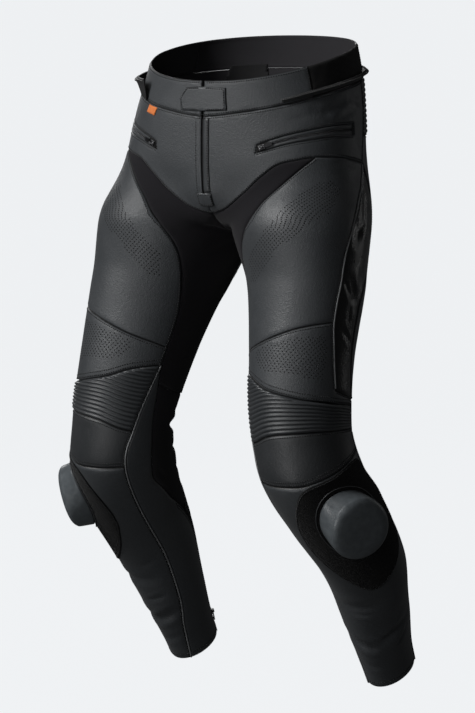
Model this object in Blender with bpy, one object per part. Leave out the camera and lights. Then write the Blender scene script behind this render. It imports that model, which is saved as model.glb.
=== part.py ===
"""Leather motorcycle trousers, filled out as worn with nobody in them.

Metres, +Z up, front towards -Y, the wearer's left towards +X. The origin is
the middle of the waist ring, where the wearer holds the trousers up.

Every piece is cut from one pattern of the left half. A place on it is given
by around, in degrees, and down, in metres along the cloth from the top edge:
around is 0 at the centre front and the inseam, 90 on the front of the leg,
180 on its outer side, 270 behind and 360 at the centre back and the inseam.
The right half is its mirror image.
"""

import math

import bpy
import numpy as np
from mathutils import Vector
from mathutils.geometry import delaunay_2d_cdt

# Driving sizes
LEATHER = 0.0018
OVERLAY = 0.0012
LABEL = 0.0008
TAPE_SUNK = 0.0006
SEAM_GAP = 0.0003
LENGTH = 0.970
CROTCH = 0.252
CROTCH_CLEAR = 0.006
HIP_END = 0.120
CENTRE_END = 0.172
BACK_SQUARENESS = 0.3
POINT_SPACING = 0.030
EDGE_SPACING = 0.021
HEM_SPACING = 0.016
PATTERN_SCALE = 0.0012
JOIN_REACH = 0.006
JOIN_SNAP = 0.003
SHARPEST_CORNER = 0.22
FLY_HALF_WIDTH = 0.0016
FLY_END = 0.186

RIB_HEIGHT = 0.0022
KNEE_RIB_PITCH = ((30, 0.0054), (120, 0.0046), (198, 0.0039))
BACK_RIB_PITCH = 0.0062
RIB_COLUMN = 0.026
RIB_MARGIN = 0.0018
RIB_SIDE_MARGIN = 0.0045

# The body of the trousers above the crotch, one row for each ring
HIP_COLUMNS = ("down", "centre_y", "centre_z", "half_width", "front", "back", "front_drop",
               "side_lift", "squareness", "evenness")
HIP = (
    (0.000, -0.012, 0.027, 0.1540, 0.1260, 0.142, 0.0290, 0.008, 2.15, 1.0),
    (0.027, -0.014, 0.000, 0.1625, 0.1250, 0.142, 0.0280, 0.008, 2.15, 1.0),
    (0.054, -0.018, -0.027, 0.1700, 0.1220, 0.142, 0.0260, 0.006, 2.2, 1.0),
    (0.100, -0.026, -0.073, 0.1800, 0.1150, 0.140, 0.016, 0.002, 2.3, 0.8),
    (0.142, -0.034, -0.115, 0.1865, 0.1070, 0.138, 0.008, 0.000, 2.4, 0.5),
    (0.182, -0.042, -0.155, 0.1935, 0.0970, 0.136, 0.002, 0.000, 2.4, 0.2),
    (0.222, -0.048, -0.190, 0.2000, 0.0920, 0.130, 0.000, 0.000, 2.3, 0.1),
    (0.252, -0.052, -0.222, 0.2060, 0.0900, 0.120, 0.000, 0.000, 2.2, 0.1),
)

# The left leg, one row for each ring
LEG_COLUMNS = ("down", "centre_x", "centre_y", "centre_z", "half_width", "front", "back",
               "lean_degrees", "skew")
LEG = (
    (0.100, 0.093, -0.022, -0.073, 0.093, 0.111, 0.126, 6, 0.02),
    (0.142, 0.0965, -0.028, -0.115, 0.0965, 0.110, 0.122, 8, 0.04),
    (0.182, 0.102, -0.034, -0.155, 0.102, 0.109, 0.118, 10, 0.08),
    (0.222, 0.1055, -0.042, -0.190, 0.1055, 0.108, 0.111, 12, 0.11),
    (0.252, 0.108, -0.050, -0.222, 0.1080, 0.106, 0.104, 14, 0.14),
    (0.323, 0.125, -0.064, -0.291, 0.094, 0.092, 0.091, 16, 0.16),
    (0.353, 0.131, -0.073, -0.320, 0.0885, 0.088, 0.085, 16, 0.16),
    (0.427, 0.1405, -0.0965, -0.390, 0.0795, 0.080, 0.078, 15, 0.12),
    (0.502, 0.1505, -0.114, -0.4616, 0.0750, 0.076, 0.073, 8, 0.06),
    (0.546, 0.1570, -0.117, -0.505, 0.0730, 0.074, 0.070, -2, 0.04),
    (0.593, 0.165, -0.107, -0.550, 0.0745, 0.078, 0.072, -16, 0.06),
    (0.666, 0.178, -0.064, -0.612, 0.070, 0.074, 0.068, -30, 0.06),
    (0.767, 0.186, 0.000, -0.696, 0.060, 0.062, 0.063, -34, 0.04),
    (0.860, 0.182, 0.043, -0.775, 0.047, 0.054, 0.052, -32, 0.0),
    (0.929, 0.178, 0.074, -0.834, 0.038, 0.047, 0.043, -32, 0.0),
    (0.970, 0.1765, 0.092, -0.868, 0.036, 0.045, 0.040, -32, 0.0),
)

# The largest creases, as soft troughs along a line on the pattern
FOLDS = (
    # around_from, down_from, around_to, down_to, depth, width
    (48, 0.872, 106, 0.888, 0.0040, 0.0075),
    (106, 0.888, 186, 0.866, 0.0036, 0.0075),
    (70, 0.800, 150, 0.806, 0.0022, 0.0080),
    (285, 0.560, 352, 0.548, 0.0050, 0.0080),
    (232, 0.584, 340, 0.604, 0.0055, 0.0085),
    (250, 0.636, 330, 0.648, 0.0035, 0.0080),
    (225, 0.330, 300, 0.345, 0.0035, 0.0110),
    (236, 0.430, 312, 0.440, 0.0030, 0.0100),
    (178, 0.225, 176, 0.262, 0.0030, 0.0070),
    (172, 0.318, 186, 0.352, 0.0028, 0.0070),
)

# Corners that several seams share
HIP_CORNER = (197, 0.147)
HIP_HEM_END = (0, 0.224)
THIGH_POINT = (127, 0.1292)
KNEE_INNER = (27.5, 0.459)
SIDE_FOOT = (200, 0.479)

# Seams of the left half, as (around, down) points of a smooth line
SEAMS = {
    "waist": ((0, 0.054), (40, 0.048), (84, 0.045), (125, 0.043), (180, 0.044), (270, 0.046),
              (360, 0.046)),
    "elastic_front": ((122.5, 0), (122.5, 0.043)),
    "elastic_back": ((236, 0), (236, 0.045)),
    "hip_hem": (HIP_HEM_END, (22, 0.224), (42, 0.2165), (61, 0.190), (73.5, 0.161), (86, 0.1395),
                (107, 0.132), THIGH_POINT),
    "hip_hem_side": (THIGH_POINT, (160, 0.134), HIP_CORNER),
    "hip_side": ((214, 0.0445), (212, 0.075), (205, 0.112), HIP_CORNER),
    "yoke_low": ((206, 0.110), (240, 0.119), (290, 0.128), (360, 0.132)),
    "inner": (THIGH_POINT, (111, 0.151), (98, 0.181), (86, 0.215), (76.5, 0.243), (66, 0.267),
              (56, 0.285), (48, 0.304), (38.5, 0.336), (32, 0.364), (28, 0.392), (27, 0.430),
              KNEE_INNER),
    "inner_low": (KNEE_INNER, (34.5, 0.506), (43, 0.547), (50, 0.570), (52, 0.594), (50, 0.630),
                  (45, 0.696), (40, 0.780), (40, 0.860), (49.5, 0.905), (60, LENGTH)),
    "side_front": (HIP_CORNER, (187.5, 0.178), (179, 0.206), (165.5, 0.276), (159.5, 0.332),
                   (157, 0.381), (161, 0.420), (166, 0.474)),
    "side_foot": ((166, 0.474), (183, 0.478), SIDE_FOOT),
    "outer": (SIDE_FOOT, (200, 0.500), (201, 0.527), (210, 0.562), (212, 0.612), (217, 0.690),
              (219, 0.770), (217, 0.870), (213, LENGTH)),
    "side_back": (HIP_CORNER, (206, 0.180), (213, 0.225), (213, 0.262), (204, 0.300),
                  (194, 0.340), (192, 0.400), (197, 0.450), SIDE_FOOT),
    "seat_low": ((213, 0.265), (250, 0.297), (300, 0.312), (341, 0.300)),
    "seat_inner": ((360, 0.226), (349, 0.256), (341, 0.300), (333, 0.380), (329, 0.450),
                   (327, 0.4965)),
    "thigh": ((157, 0.381), (118, 0.399), (95, 0.411), (66, 0.424), (27.5, 0.434)),
    "knee_top_low": (KNEE_INNER, (58, 0.470), (82, 0.482), (114, 0.489), (140, 0.491),
                     (170, 0.4915), (200, 0.491)),
    "ribs_low": ((43, 0.548), (59, 0.544), (84, 0.535), (118, 0.530), (151, 0.527), (201, 0.526)),
    "knee_low": ((51.5, 0.590), (75, 0.589), (95, 0.588), (115, 0.587), (135, 0.583),
                 (160, 0.577), (190, 0.567), (211, 0.562)),
    "knee_back_top": (SIDE_FOOT, (250, 0.487), (300, 0.494), (327, 0.4965), (345, 0.497),
                      (360, 0.495)),
    "knee_back_inner": ((0, 0.495), (12, 0.490), (23.5, 0.486)),
    "inner_back": ((27.5, 0.464), (24, 0.486), (21.5, 0.508), (19.5, 0.562), (23, 0.606),
                   (22.5, 0.624), (14.5, 0.646), (6.5, 0.672), (0, 0.688)),
    "inner_back_low": ((360, 0.688), (349, 0.714), (329, 0.776), (320, 0.836), (317, 0.908),
                       (316, LENGTH)),
    "knee_back_low": ((213, 0.620), (240, 0.644), (280, 0.670), (320, 0.698), (347, 0.719)),
    "zip_back": ((340, 0.714), (314, 0.776), (304, 0.836), (300, 0.908), (299, LENGTH)),
}

# Each panel is what lies round its seed places, between the seams
PANELS = {
    "waistband_front": ((60, 0.020),),
    "waistband_elastic": ((180, 0.020),),
    "waistband_back": ((300, 0.020),),
    "hip_front": ((30, 0.100),),
    "back_ribs": ((300, 0.090),),
    "seat": ((300, 0.200),),
    "side_thigh": ((187, 0.270),),
    "stretch_inner_thigh": ((90, 0.160), (350, 0.350)),
    "thigh_front": ((100, 0.300),),
    "thigh_back": ((270, 0.400),),
    "knee_top": ((100, 0.450),),
    "knee_ribs": ((100, 0.510),),
    "knee_front": ((100, 0.560),),
    "knee_back": ((300, 0.560), (5, 0.560)),
    "shin": ((100, 0.800),),
    "calf_inner": ((20, 0.800), (350, 0.850)),
    "calf_back": ((260, 0.800),),
    "calf_zip_tape": ((309, 0.880),),
    "pocket_zip_tape": ((110, 0.0965),),
}

# The pocket zip's window in the hip panel
POCKET_LINE = ((59, 0.1105), (82, 0.1010), (106, 0.0965), (143, 0.0955), (181, 0.1000))
POCKET_HALF_HEIGHT = 0.0068

# Overlays, as (around, down) corners on the pattern
HOOK_BASE = ((190, 0.571), (150, 0.5815), (115, 0.5915), (95, 0.618), (83, 0.646), (79, 0.670),
             (81, 0.690), (92, 0.724), (113, 0.757), (133, 0.772), (160, 0.765), (188, 0.748),
             (207, 0.726), (226, 0.676), (217, 0.625), (205, 0.585))
BELT_TAB_LEFT = ((0, 0.0085), (2, 0.0088), (25, 0.0110), (24.5, 0.0440), (2, 0.0455), (0, 0.0455))
BELT_TAB_RIGHT = ((0, 0.0085), (2, 0.0088), (18, 0.0110), (26.5, 0.0280), (22, 0.0455),
                  (2, 0.0455), (0, 0.0455))
WAIST_TAG = ((58, 0.0485), (75, 0.0475), (79, 0.0600), (62, 0.0620))
SIZE_LABEL = ((280, 0.0405), (276, 0.0600), (324, 0.0600), (320, 0.0405))
PLACKET_WIDTH = 0.0120
PATCH_HALF_WIDTH = 0.0125
PATCH_LENGTH = 0.025
FLY_TAPE_HALF_WIDTH = 0.0110

# The connection zip's flap, sewn on outside the waist seam and standing up. Its turn goes
# from the right front round the back, 360 at the centre back, to the left front
FLAP_COLUMNS = ("turn", "down", "width", "tilt_degrees")
FLAP = (
    (84, 0.0440, 0.034, 62),
    (104, 0.0430, 0.032, 58),
    (150, 0.0420, 0.026, 48),
    (230, 0.0425, 0.018, 40),
    (360, 0.0440, 0.012, 38),
    (490, 0.0425, 0.010, 40),
    (600, 0.0410, 0.010, 42),
    (636, 0.0420, 0.009, 44),
)
FLAP_THICKNESS = 0.0018
FLAP_STAND_OFF = 0.0006
FLAP_SECTIONS = 44

# Knee slider
SLIDER_PLACE = (148, 0.652)
SLIDER_HEIGHT = 0.024
SLIDER_OUTLINE = ((0.002, -0.052), (0.026, -0.045), (0.043, -0.022), (0.047, 0.006),
                  (0.036, 0.036), (0.012, 0.050), (-0.016, 0.046), (-0.036, 0.026),
                  (-0.044, -0.002), (-0.034, -0.026), (-0.018, -0.044))
SLIDER_SEAT_RINGS = (0.35, 0.7, 1.0)
SLIDER_RINGS = (
    # scale, share of the height
    (1.00, 0.22),
    (0.985, 0.50),
    (0.94, 0.72),
    (0.82, 0.90),
    (0.55, 0.985),
)
SLIDER_STAND_OFF = 0.0006

# Zip slider and pull tab
BODY_LENGTH = 0.0084
BODY_WIDTH = 0.0070
BODY_HEIGHT = 0.0020
CROWN_LENGTH = 0.0064
CROWN_WIDTH = 0.0020
CROWN_BAR = 0.0012
CROWN_CLEAR = 0.0020
PULL_LENGTH = 0.0170
PULL_WIDTH = 0.0058
PULL_THICKNESS = 0.0010
PULL_EYE_LENGTH = 0.0034
PULL_EYE_WIDTH = 0.0027
PULL_DROOP = math.radians(3)
POCKET_SLIDER = (63.5, 0.1084, 66.0, 0.1070)
CALF_SLIDER = (308.0, 0.938, 307.8, 0.948)


def smooth(table, down):
    """Every column of a table at the given places, on a smooth line through its rows."""
    rows = np.asarray(table, float)
    x = rows[:, 0]
    down = np.clip(np.asarray(down, float), x[0], x[-1])
    slope = np.empty_like(rows)
    slope[1:-1] = (rows[2:] - rows[:-2]) / (x[2:] - x[:-2])[:, None]
    slope[0] = (rows[1] - rows[0]) / (x[1] - x[0])
    slope[-1] = (rows[-1] - rows[-2]) / (x[-1] - x[-2])
    i = np.clip(np.searchsorted(x, down, side="right") - 1, 0, len(x) - 2)
    step = x[i + 1] - x[i]
    t = ((down - x[i]) / step)[..., None]
    step = step[..., None]
    ends = rows[i] * (2 * t**3 - 3 * t**2 + 1) + rows[i + 1] * (3 * t**2 - 2 * t**3)
    return ends + step * (slope[i] * (t**3 - 2 * t**2 + t) + slope[i + 1] * (t**3 - t**2))


def squared(value, squareness):
    """A sine or cosine pushed out towards a rounded square."""
    return np.sign(value) * np.abs(value) ** (2 / squareness)


def hip_point(around, down):
    """The half ring of the body, with its points spaced as a leg's where evenness is low."""
    ring = dict(zip(HIP_COLUMNS, np.moveaxis(smooth(HIP, down), -1, 0)))
    plain = np.radians(around) / 2
    leg_like = np.arcsin(np.clip(np.sin(plain) ** 2, 0, 1))
    leg_like = np.where(around > 180, math.pi - leg_like, leg_like)
    turn = ring["evenness"] * plain + (1 - ring["evenness"]) * leg_like
    square = ring["squareness"]
    square = np.where(turn < math.pi / 2, square, 2 + BACK_SQUARENESS * (square - 2))
    side = squared(np.sin(turn), square)
    ahead = squared(np.cos(turn), square)
    x = ring["half_width"] * side
    y = ring["centre_y"] - np.where(ahead > 0, ring["front"], ring["back"]) * ahead
    z = ring["centre_z"] - ring["front_drop"] * np.cos(turn)
    z = z + ring["side_lift"] * np.sin(turn) ** 2
    return np.stack([x, y, z], -1)


def leg_point(around, down):
    """The ring of the left leg, leaning with the bent knee and meeting the middle above it."""
    ring = dict(zip(LEG_COLUMNS, np.moveaxis(smooth(LEG, down), -1, 0)))
    turn = np.radians(around)
    lean = np.radians(ring["lean_degrees"])
    centre_x = np.where(down <= CROTCH, ring["half_width"], ring["centre_x"])
    across = -ring["half_width"] * np.cos(turn)
    depth = np.where(np.sin(turn) > 0, ring["front"], ring["back"])
    ahead = depth * np.sin(turn) + ring["skew"] * across
    y = ring["centre_y"] - ahead * np.cos(lean)
    z = ring["centre_z"] + ahead * np.sin(lean)
    return np.stack([centre_x + across, y, z], -1)


def form_point(around, down):
    """The smooth outside of the left half, the body flowing into the leg."""
    around, down = np.broadcast_arrays(np.asarray(around, float), np.asarray(down, float))
    rise = np.clip((CROTCH - down) / (CROTCH - HIP_END), 0, 1)
    slow = rise * rise * (3 - 2 * rise)
    rise = np.clip((CROTCH - down) / (CROTCH - CENTRE_END), 0, 1)
    quick = np.sqrt(rise * (2 - rise))
    near_seam = np.cos(np.radians(around) / 2) ** 4
    body = (near_seam * quick + (1 - near_seam) * slow)[..., None]
    return hip_point(around, down) * body + leg_point(around, down) * (1 - body)


def form_normal(around, down):
    """Outward unit normals of the form, taken just clear of the sharp bend at the crotch."""
    around, down = np.broadcast_arrays(np.asarray(around, float), np.asarray(down, float))
    step_around = 1.0
    step_down = 0.002
    leg = down > CROTCH
    centre = ((around < 0.01) | (around > 359.99)) & ~leg
    crotch = centre & (down > CROTCH - 0.001)
    clear = np.where(leg, CROTCH + CROTCH_CLEAR, CROTCH - CROTCH_CLEAR)
    down = np.where(np.abs(down - CROTCH) < CROTCH_CLEAR, clear, down)
    low = np.where(leg, around - step_around, np.maximum(around - step_around, 0))
    high = np.where(leg, around + step_around, np.minimum(around + step_around, 360))
    wrap = np.where(leg, 360.0, 1e9)
    across = form_point(high % wrap, down) - form_point(low % wrap, down)
    above = np.maximum(down - step_down, 0)
    below = np.minimum(down + step_down, LENGTH)
    along = form_point(around, below) - form_point(around, above)
    normal = np.cross(along, across)
    normal[..., 0] = np.where(centre, 0, normal[..., 0])
    normal = normal / np.maximum(np.linalg.norm(normal, axis=-1, keepdims=True), 1e-12)
    normal[crotch] = (0, 0, -1)
    return normal


def on_pattern(places):
    """Pattern places in metres, for distances along the cloth."""
    return np.asarray(places, float) * (PATTERN_SCALE, 1)


def fold_depth(around, down):
    """How far the creases press the cloth in."""
    place = np.stack(np.broadcast_arrays(around, down), -1) * (PATTERN_SCALE, 1)
    depth = np.zeros(place.shape[:-1])
    for around_from, down_from, around_to, down_to, deep, width in FOLDS:
        start = on_pattern((around_from, down_from))
        run = on_pattern((around_to, down_to)) - start
        along = np.clip((place - start) @ run / (run @ run), 0, 1)
        away = np.linalg.norm(place - start - along[..., None] * run, axis=-1)
        taper = np.sin(math.pi * np.clip(along, 0.08, 0.92)) ** 0.6
        depth += deep * taper * np.exp(-(away / width) ** 2)
    return depth


def cloth_point(around, down, lift=0.0):
    """Points of the creased cloth, moved out by lift."""
    away = np.asarray(lift - fold_depth(around, down))[..., None]
    return form_point(around, down) + away * form_normal(around, down)


def across_front(x, down):
    """The around value near the centre front where the cloth is x from the middle."""
    low, high = 0.0, 60.0
    for _ in range(40):
        middle = (low + high) / 2
        if form_point(middle, down)[0] < x:
            low = middle
        else:
            high = middle
    return low


def curve(points, spacing=EDGE_SPACING):
    """Pattern places on a smooth line through the points, no further apart than spacing."""
    rows = np.asarray(points, float)
    if len(rows) == 2:
        return straight(rows, spacing)
    padded = np.vstack([2 * rows[0] - rows[1], rows, 2 * rows[-1] - rows[-2]])
    places = [rows[0]]
    for a, b, c, d in zip(padded, padded[1:], padded[2:], padded[3:]):
        count = max(1, math.ceil(np.linalg.norm(on_pattern(c - b)) / spacing))
        for k in range(1, count + 1):
            t = k / count
            places.append(0.5 * (2 * b + (c - a) * t + (2 * a - 5 * b + 4 * c - d) * t**2
                                 + (3 * b - a - 3 * c + d) * t**3))
    return np.array(places)


def straight(points, spacing=EDGE_SPACING):
    """Pattern places on straight runs between the points."""
    rows = np.asarray(points, float)
    places = [rows[0]]
    for a, b in zip(rows, rows[1:]):
        count = max(1, math.ceil(np.linalg.norm(on_pattern(b - a)) / spacing))
        places.extend(a + (b - a) * k / count for k in range(1, count + 1))
    return np.array(places)


def closed(points, spacing=EDGE_SPACING):
    """A closed smooth line through the points, its last place left off."""
    rows = np.asarray(points, float)
    looped = np.vstack([rows[-1], rows, rows[0], rows[1]])
    start = len(curve(looped[:2], spacing)) - 1
    line = curve(looped, spacing)
    stop = len(line) - (len(curve(looped[-2:], spacing)) - 1)
    return line[start:stop - 1]


def outline(points, spacing=EDGE_SPACING):
    """A closed outline with straight edges, its last place left off."""
    return straight(list(points) + [points[0]], spacing)[:-1]


def window_outline():
    """The pocket zip's window, even in height along its line."""
    line = curve(POCKET_LINE, EDGE_SPACING)
    upper = line - (0, POCKET_HALF_HEIGHT)
    lower = line[::-1] + (0, POCKET_HALF_HEIGHT)
    return np.vstack([upper, lower])


def front_strip(x_from, x_to, down_from, down_to):
    """An outline near the centre front, given by its distances from the middle."""
    downs = np.linspace(down_from, down_to, 1 + math.ceil((down_to - down_from) / EDGE_SPACING))
    first = [(across_front(x_from, down) if x_from > 0 else 0.0, down) for down in downs]
    second = [(across_front(x_to, down), down) for down in downs[::-1]]
    return np.array(first + second)


def join_ends(lines):
    """Move each line's ends onto the line that they stop at."""
    for name, line in lines.items():
        for end in (0, -1):
            best = None
            for other, places in lines.items():
                if other == name:
                    continue
                for a, b in zip(places, places[1:]):
                    a_flat, b_flat, p = on_pattern(a), on_pattern(b), on_pattern(line[end])
                    run = b_flat - a_flat
                    t = np.clip((p - a_flat) @ run / (run @ run), 0, 1)
                    if t * np.linalg.norm(run) < JOIN_SNAP:
                        t = 0
                    if (1 - t) * np.linalg.norm(run) < JOIN_SNAP:
                        t = 1
                    away = np.linalg.norm(p - a_flat - t * run)
                    if away < JOIN_REACH and (best is None or away < best[0]):
                        best = (away, a + t * (b - a))
            if best:
                line[end] = best[1]


def rib_lines():
    """Crests and valleys of the ribbed panels, as lines on the pattern."""
    lines = []
    count = 60
    for half_steps in range(1, count):
        for place in (knee_rib_place, back_rib_place):
            line = place(half_steps / 2)
            if line is not None:
                lines.append(line)
    return lines


def at(name, values, column=0):
    """A seam's other coordinate at the given arounds, or downs where column is 1."""
    line = seam_lines[name]
    order = np.argsort(line[:, column])
    return np.interp(values, line[order, column], line[order, 1 - column])


def knee_pitch(around):
    return np.interp(around, *zip(*KNEE_RIB_PITCH))


def knee_rib_place(step):
    """A line parallel to the ribs' lower seam, step ribs above it."""
    arounds = np.linspace(28, 201, 60)
    downs = at("ribs_low", arounds) - step * knee_pitch(arounds)
    top = at("knee_top_low", arounds) + RIB_MARGIN
    inner = at("inner_low", downs, 1) + RIB_SIDE_MARGIN / PATTERN_SCALE
    outer = at("outer", downs, 1) - RIB_SIDE_MARGIN / PATTERN_SCALE
    return even_columns(arounds, downs, (downs > top) & (arounds > inner) & (arounds < outer))


def back_rib_place(step):
    """A line parallel to the waist seam, step ribs below it, as far as the centre back."""
    arounds = np.linspace(205, 360, 80)
    downs = at("waist", arounds) + step * BACK_RIB_PITCH
    side = at("hip_side", downs, 1) + RIB_SIDE_MARGIN / PATTERN_SCALE
    low = at("yoke_low", arounds) - RIB_MARGIN
    return even_columns(arounds, downs, (downs < low) & (arounds > side))


def even_columns(arounds, downs, inside):
    """The stretch of a line that lies inside its panel, with few even points."""
    if inside.sum() < 4:
        return None
    arounds, downs = arounds[inside], downs[inside]
    length = (arounds[-1] - arounds[0]) * PATTERN_SCALE
    columns = np.linspace(arounds[0], arounds[-1], 1 + max(1, round(length / RIB_COLUMN)))
    return np.stack([columns, np.interp(columns, arounds, downs)], -1)


def knee_rib_count(around, down):
    return (at("ribs_low", around) - down) / knee_pitch(around)


def back_rib_count(around, down):
    return (down - at("waist", around)) / BACK_RIB_PITCH


def ring_length(down):
    turn = np.linspace(0, 360, 73)
    ring = form_point(turn, np.full_like(turn, down))
    return np.linalg.norm(np.diff(ring, axis=0), axis=1).sum()


def lattice():
    """Staggered places all over the pattern."""
    rows = round(LENGTH / (POINT_SPACING * 0.87))
    places = []
    for row in range(1, rows):
        down = LENGTH * row / rows
        count = max(10, round(ring_length(down) / POINT_SPACING))
        places.extend((360 * (k + 0.25 + 0.5 * (row % 2)) / count, down) for k in range(count))
    return np.array(places)


def cut_pattern():
    """One net of triangles over the pattern, with every seam and overlay edge in it.

    Returns its places, its triangles and the set of its edges that are cut.
    """
    edges = []
    cut = []
    places = []

    def add(line, is_cut, loop=False):
        first = len(places)
        places.extend(line)
        ends = len(line) if loop else len(line) - 1
        for k in range(ends):
            edges.append((first + k, first + (k + 1) % len(line)))
            cut.append(is_cut)

    for line in seam_lines.values():
        add(line, True)
    for line in windows:
        add(line, True, loop=True)
    for line in overlay_lines.values():
        add(line, False, loop=True)
    for line in rib_lines():
        add(line, False)
    for around_from, down_from, around_to, down_to, _, width in FOLDS:
        for shift in (-width * 1.1, 0, width * 1.1):
            add(straight(((around_from, down_from + shift), (around_to, down_to + shift)),
                         POINT_SPACING), False)
    joins = sorted({0.0, CROTCH, LENGTH}
                   | {line[end][1] for line in seam_lines.values() for end in (0, -1)
                      if line[end][0] in (0.0, 360.0)})
    side = np.concatenate([straight(((0, a), (0, b)))[:-1] for a, b in zip(joins, joins[1:])]
                          + [[(0, LENGTH)]])
    add(side, True)
    add(side + (360, 0), True)
    add(straight(((0, 0), (360, 0))), True)
    add(straight(((0, LENGTH), (360, LENGTH)), HEM_SPACING), True)

    starts = on_pattern([places[a] for a, _ in edges])
    runs = on_pattern([places[b] for _, b in edges]) - starts
    for place in lattice():
        away = on_pattern(place) - starts
        t = np.clip((away * runs).sum(1) / (runs * runs).sum(1), 0, 1)
        if np.linalg.norm(away - t[:, None] * runs, axis=1).min() > 0.42 * POINT_SPACING:
            places.append(place)
    flat = [Vector(p) for p in on_pattern(places)]
    result = delaunay_2d_cdt(flat, edges, [], 0, 1e-6)
    found, net_edges, triangles, _, from_edges, _ = result
    found = np.array([(p.x, p.y) for p in found]) / (PATTERN_SCALE, 1)
    found[:, 1] = np.round(found[:, 1], 6)
    found[:, 0] = np.where(found[:, 0] < 0.002, 0, found[:, 0])
    found[:, 0] = np.where(found[:, 0] > 359.998, 360, found[:, 0])
    cuts = {frozenset(edge) for edge, origin in zip(net_edges, from_edges)
            if any(cut[k] for k in origin)}
    return found, [tuple(t) for t in triangles], cuts


def inside_outline(places, line):
    """Whether each place lies inside a closed line."""
    x, y = places[:, 0], places[:, 1]
    inside = np.zeros(len(places), bool)
    for (ax, ay), (bx, by) in zip(line, np.roll(line, -1, axis=0)):
        crosses = (ay > y) != (by > y)
        if ay != by:
            inside ^= crosses & (x < ax + (y - ay) * (bx - ax) / (by - ay))
    return inside


def panel_triangles():
    """The triangles of each panel, spread from its seeds as far as the cuts."""
    corners = net_places[np.array(net)]
    beside = {}
    for index, triangle in enumerate(net):
        for a, b in zip(triangle, triangle[1:] + triangle[:1]):
            beside.setdefault(frozenset((a, b)), []).append(index)
    found = {}
    for name, seeds in PANELS.items():
        chosen = set()
        for seed in seeds:
            start = next(k for k, corner in enumerate(corners)
                         if inside_outline(np.array([seed], float), corner)[0])
            waiting = [start]
            chosen.add(start)
            while waiting:
                triangle = net[waiting.pop()]
                for a, b in zip(triangle, triangle[1:] + triangle[:1]):
                    edge = frozenset((a, b))
                    if edge in cut_edges:
                        continue
                    for other in beside[edge]:
                        if other not in chosen:
                            chosen.add(other)
                            waiting.append(other)
        found[name] = sorted(chosen)
    return found


def covered_triangles(line):
    """The triangles of the whole net that an overlay's outline holds."""
    middles = net_places[np.array(net)].mean(axis=1)
    return list(np.nonzero(inside_outline(middles, line))[0])


def material(name, colour, roughness, metallic=0.0):
    made = bpy.data.materials.new(name)
    made.use_nodes = True
    shader = made.node_tree.nodes["Principled BSDF"]
    shader.inputs["Base Color"].default_value = (*colour, 1)
    shader.inputs["Roughness"].default_value = roughness
    shader.inputs["Metallic"].default_value = metallic
    return made


def add_object(name, points, faces, made_of):
    mesh = bpy.data.meshes.new(name)
    mesh.from_pydata([tuple(p) for p in points], [], faces)
    mesh.materials.append(made_of)
    mesh.shade_smooth()
    thing = bpy.data.objects.new(name, mesh)
    bpy.context.scene.collection.objects.link(thing)
    return thing


def same_place(place, side):
    """One key for the copies of a place that meet at the inseam or the centre line."""
    around, down = place
    if around >= 360 and down >= CROTCH - 1e-6:
        around = 0.0
    on_centre = around in (0.0, 360.0) and down <= CROTCH + 1e-6
    return (round(around, 3), round(down, 6), 0 if on_centre else side)


def cloth_piece(name, chosen, made_of, lift=0.0, wall=LEATHER, rib_count=None):
    """A wall of cloth from the net's triangles, its rim split the same way as its neighbours'.

    chosen lists (triangles, side) pairs, with side -1 for the right half. Its outer points
    stand lift outside the form, and its inner points wall inside those. Ribs stand out in
    tents, their valleys where rib_count is whole.
    """
    index = {}
    places = []
    sides = []
    triangles = []
    for members, side in chosen:
        for member in members:
            corner = []
            for vertex in net[member]:
                key = same_place(net_places[vertex], side)
                if key not in index:
                    index[key] = len(places)
                    places.append(net_places[vertex])
                    sides.append(side)
                corner.append(index[key])
            triangles.append(corner)
    places = np.array(places)
    mirror = np.stack([np.array(sides), np.ones(len(sides)), np.ones(len(sides))], -1)
    around, down = places.T
    normals = form_normal(around, down) * mirror
    base = cloth_point(around, down) * mirror

    turned = []
    for a, b, c in triangles:
        facing = np.cross(base[b] - base[a], base[c] - base[a])
        out = normals[a] + normals[b] + normals[c]
        turned.append((a, b, c) if facing @ out > 0 else (a, c, b))
    triangles = turned
    directed = {}
    for a, b, c in triangles:
        for start, stop, third in ((a, b, c), (b, c, a), (c, a, b)):
            directed[start, stop] = third
    rim = {edge: third for edge, third in directed.items() if edge[::-1] not in directed}

    pull = {}
    for (start, stop), third in rim.items():
        run = base[stop] - base[start]
        run = run / np.linalg.norm(run)
        inward = base[third] - base[start]
        inward = inward - (inward @ run) * run
        inward = inward / np.linalg.norm(inward)
        for vertex in (start, stop):
            pull.setdefault(vertex, []).append(inward)
    moved = base.copy()
    for vertex, inwards in pull.items():
        total = sum(inwards)
        sharp = max(1 + (inwards[0] @ inwards[-1] if len(inwards) > 1 else 1), SHARPEST_CORNER)
        moved[vertex] += total * (SEAM_GAP / 2) / sharp
    stand = np.full(len(places), lift)
    if rib_count:
        stand += RIB_HEIGHT * (1 - np.abs(2 * (rib_count(around, down) % 1) - 1))
    stand[list(pull)] = lift
    outer = moved + normals * stand[:, None]
    inner = moved + normals * (lift - wall)
    count = len(outer)
    faces = list(triangles)
    faces += [(c + count, b + count, a + count) for a, b, c in triangles]
    for start, stop in rim:
        if tuple(places[start]) < tuple(places[stop]):
            faces += [(stop, start, start + count), (stop, start + count, stop + count)]
        else:
            faces += [(stop, start, stop + count), (start, start + count, stop + count)]
    return add_object(name, np.vstack([outer, inner]), faces, made_of)


def frame_at(around, down, side, lift=0.0):
    """A place on the cloth with its outward normal, and the pattern's way down there."""
    mirror = np.array([side, 1, 1])
    place = cloth_point(around, down, lift) * mirror
    normal = form_normal(around, down) * mirror
    ahead = cloth_point(around, down + 0.002, lift) * mirror - place
    ahead = ahead - (ahead @ normal) * normal
    return place, normal, ahead / np.linalg.norm(ahead)


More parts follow.
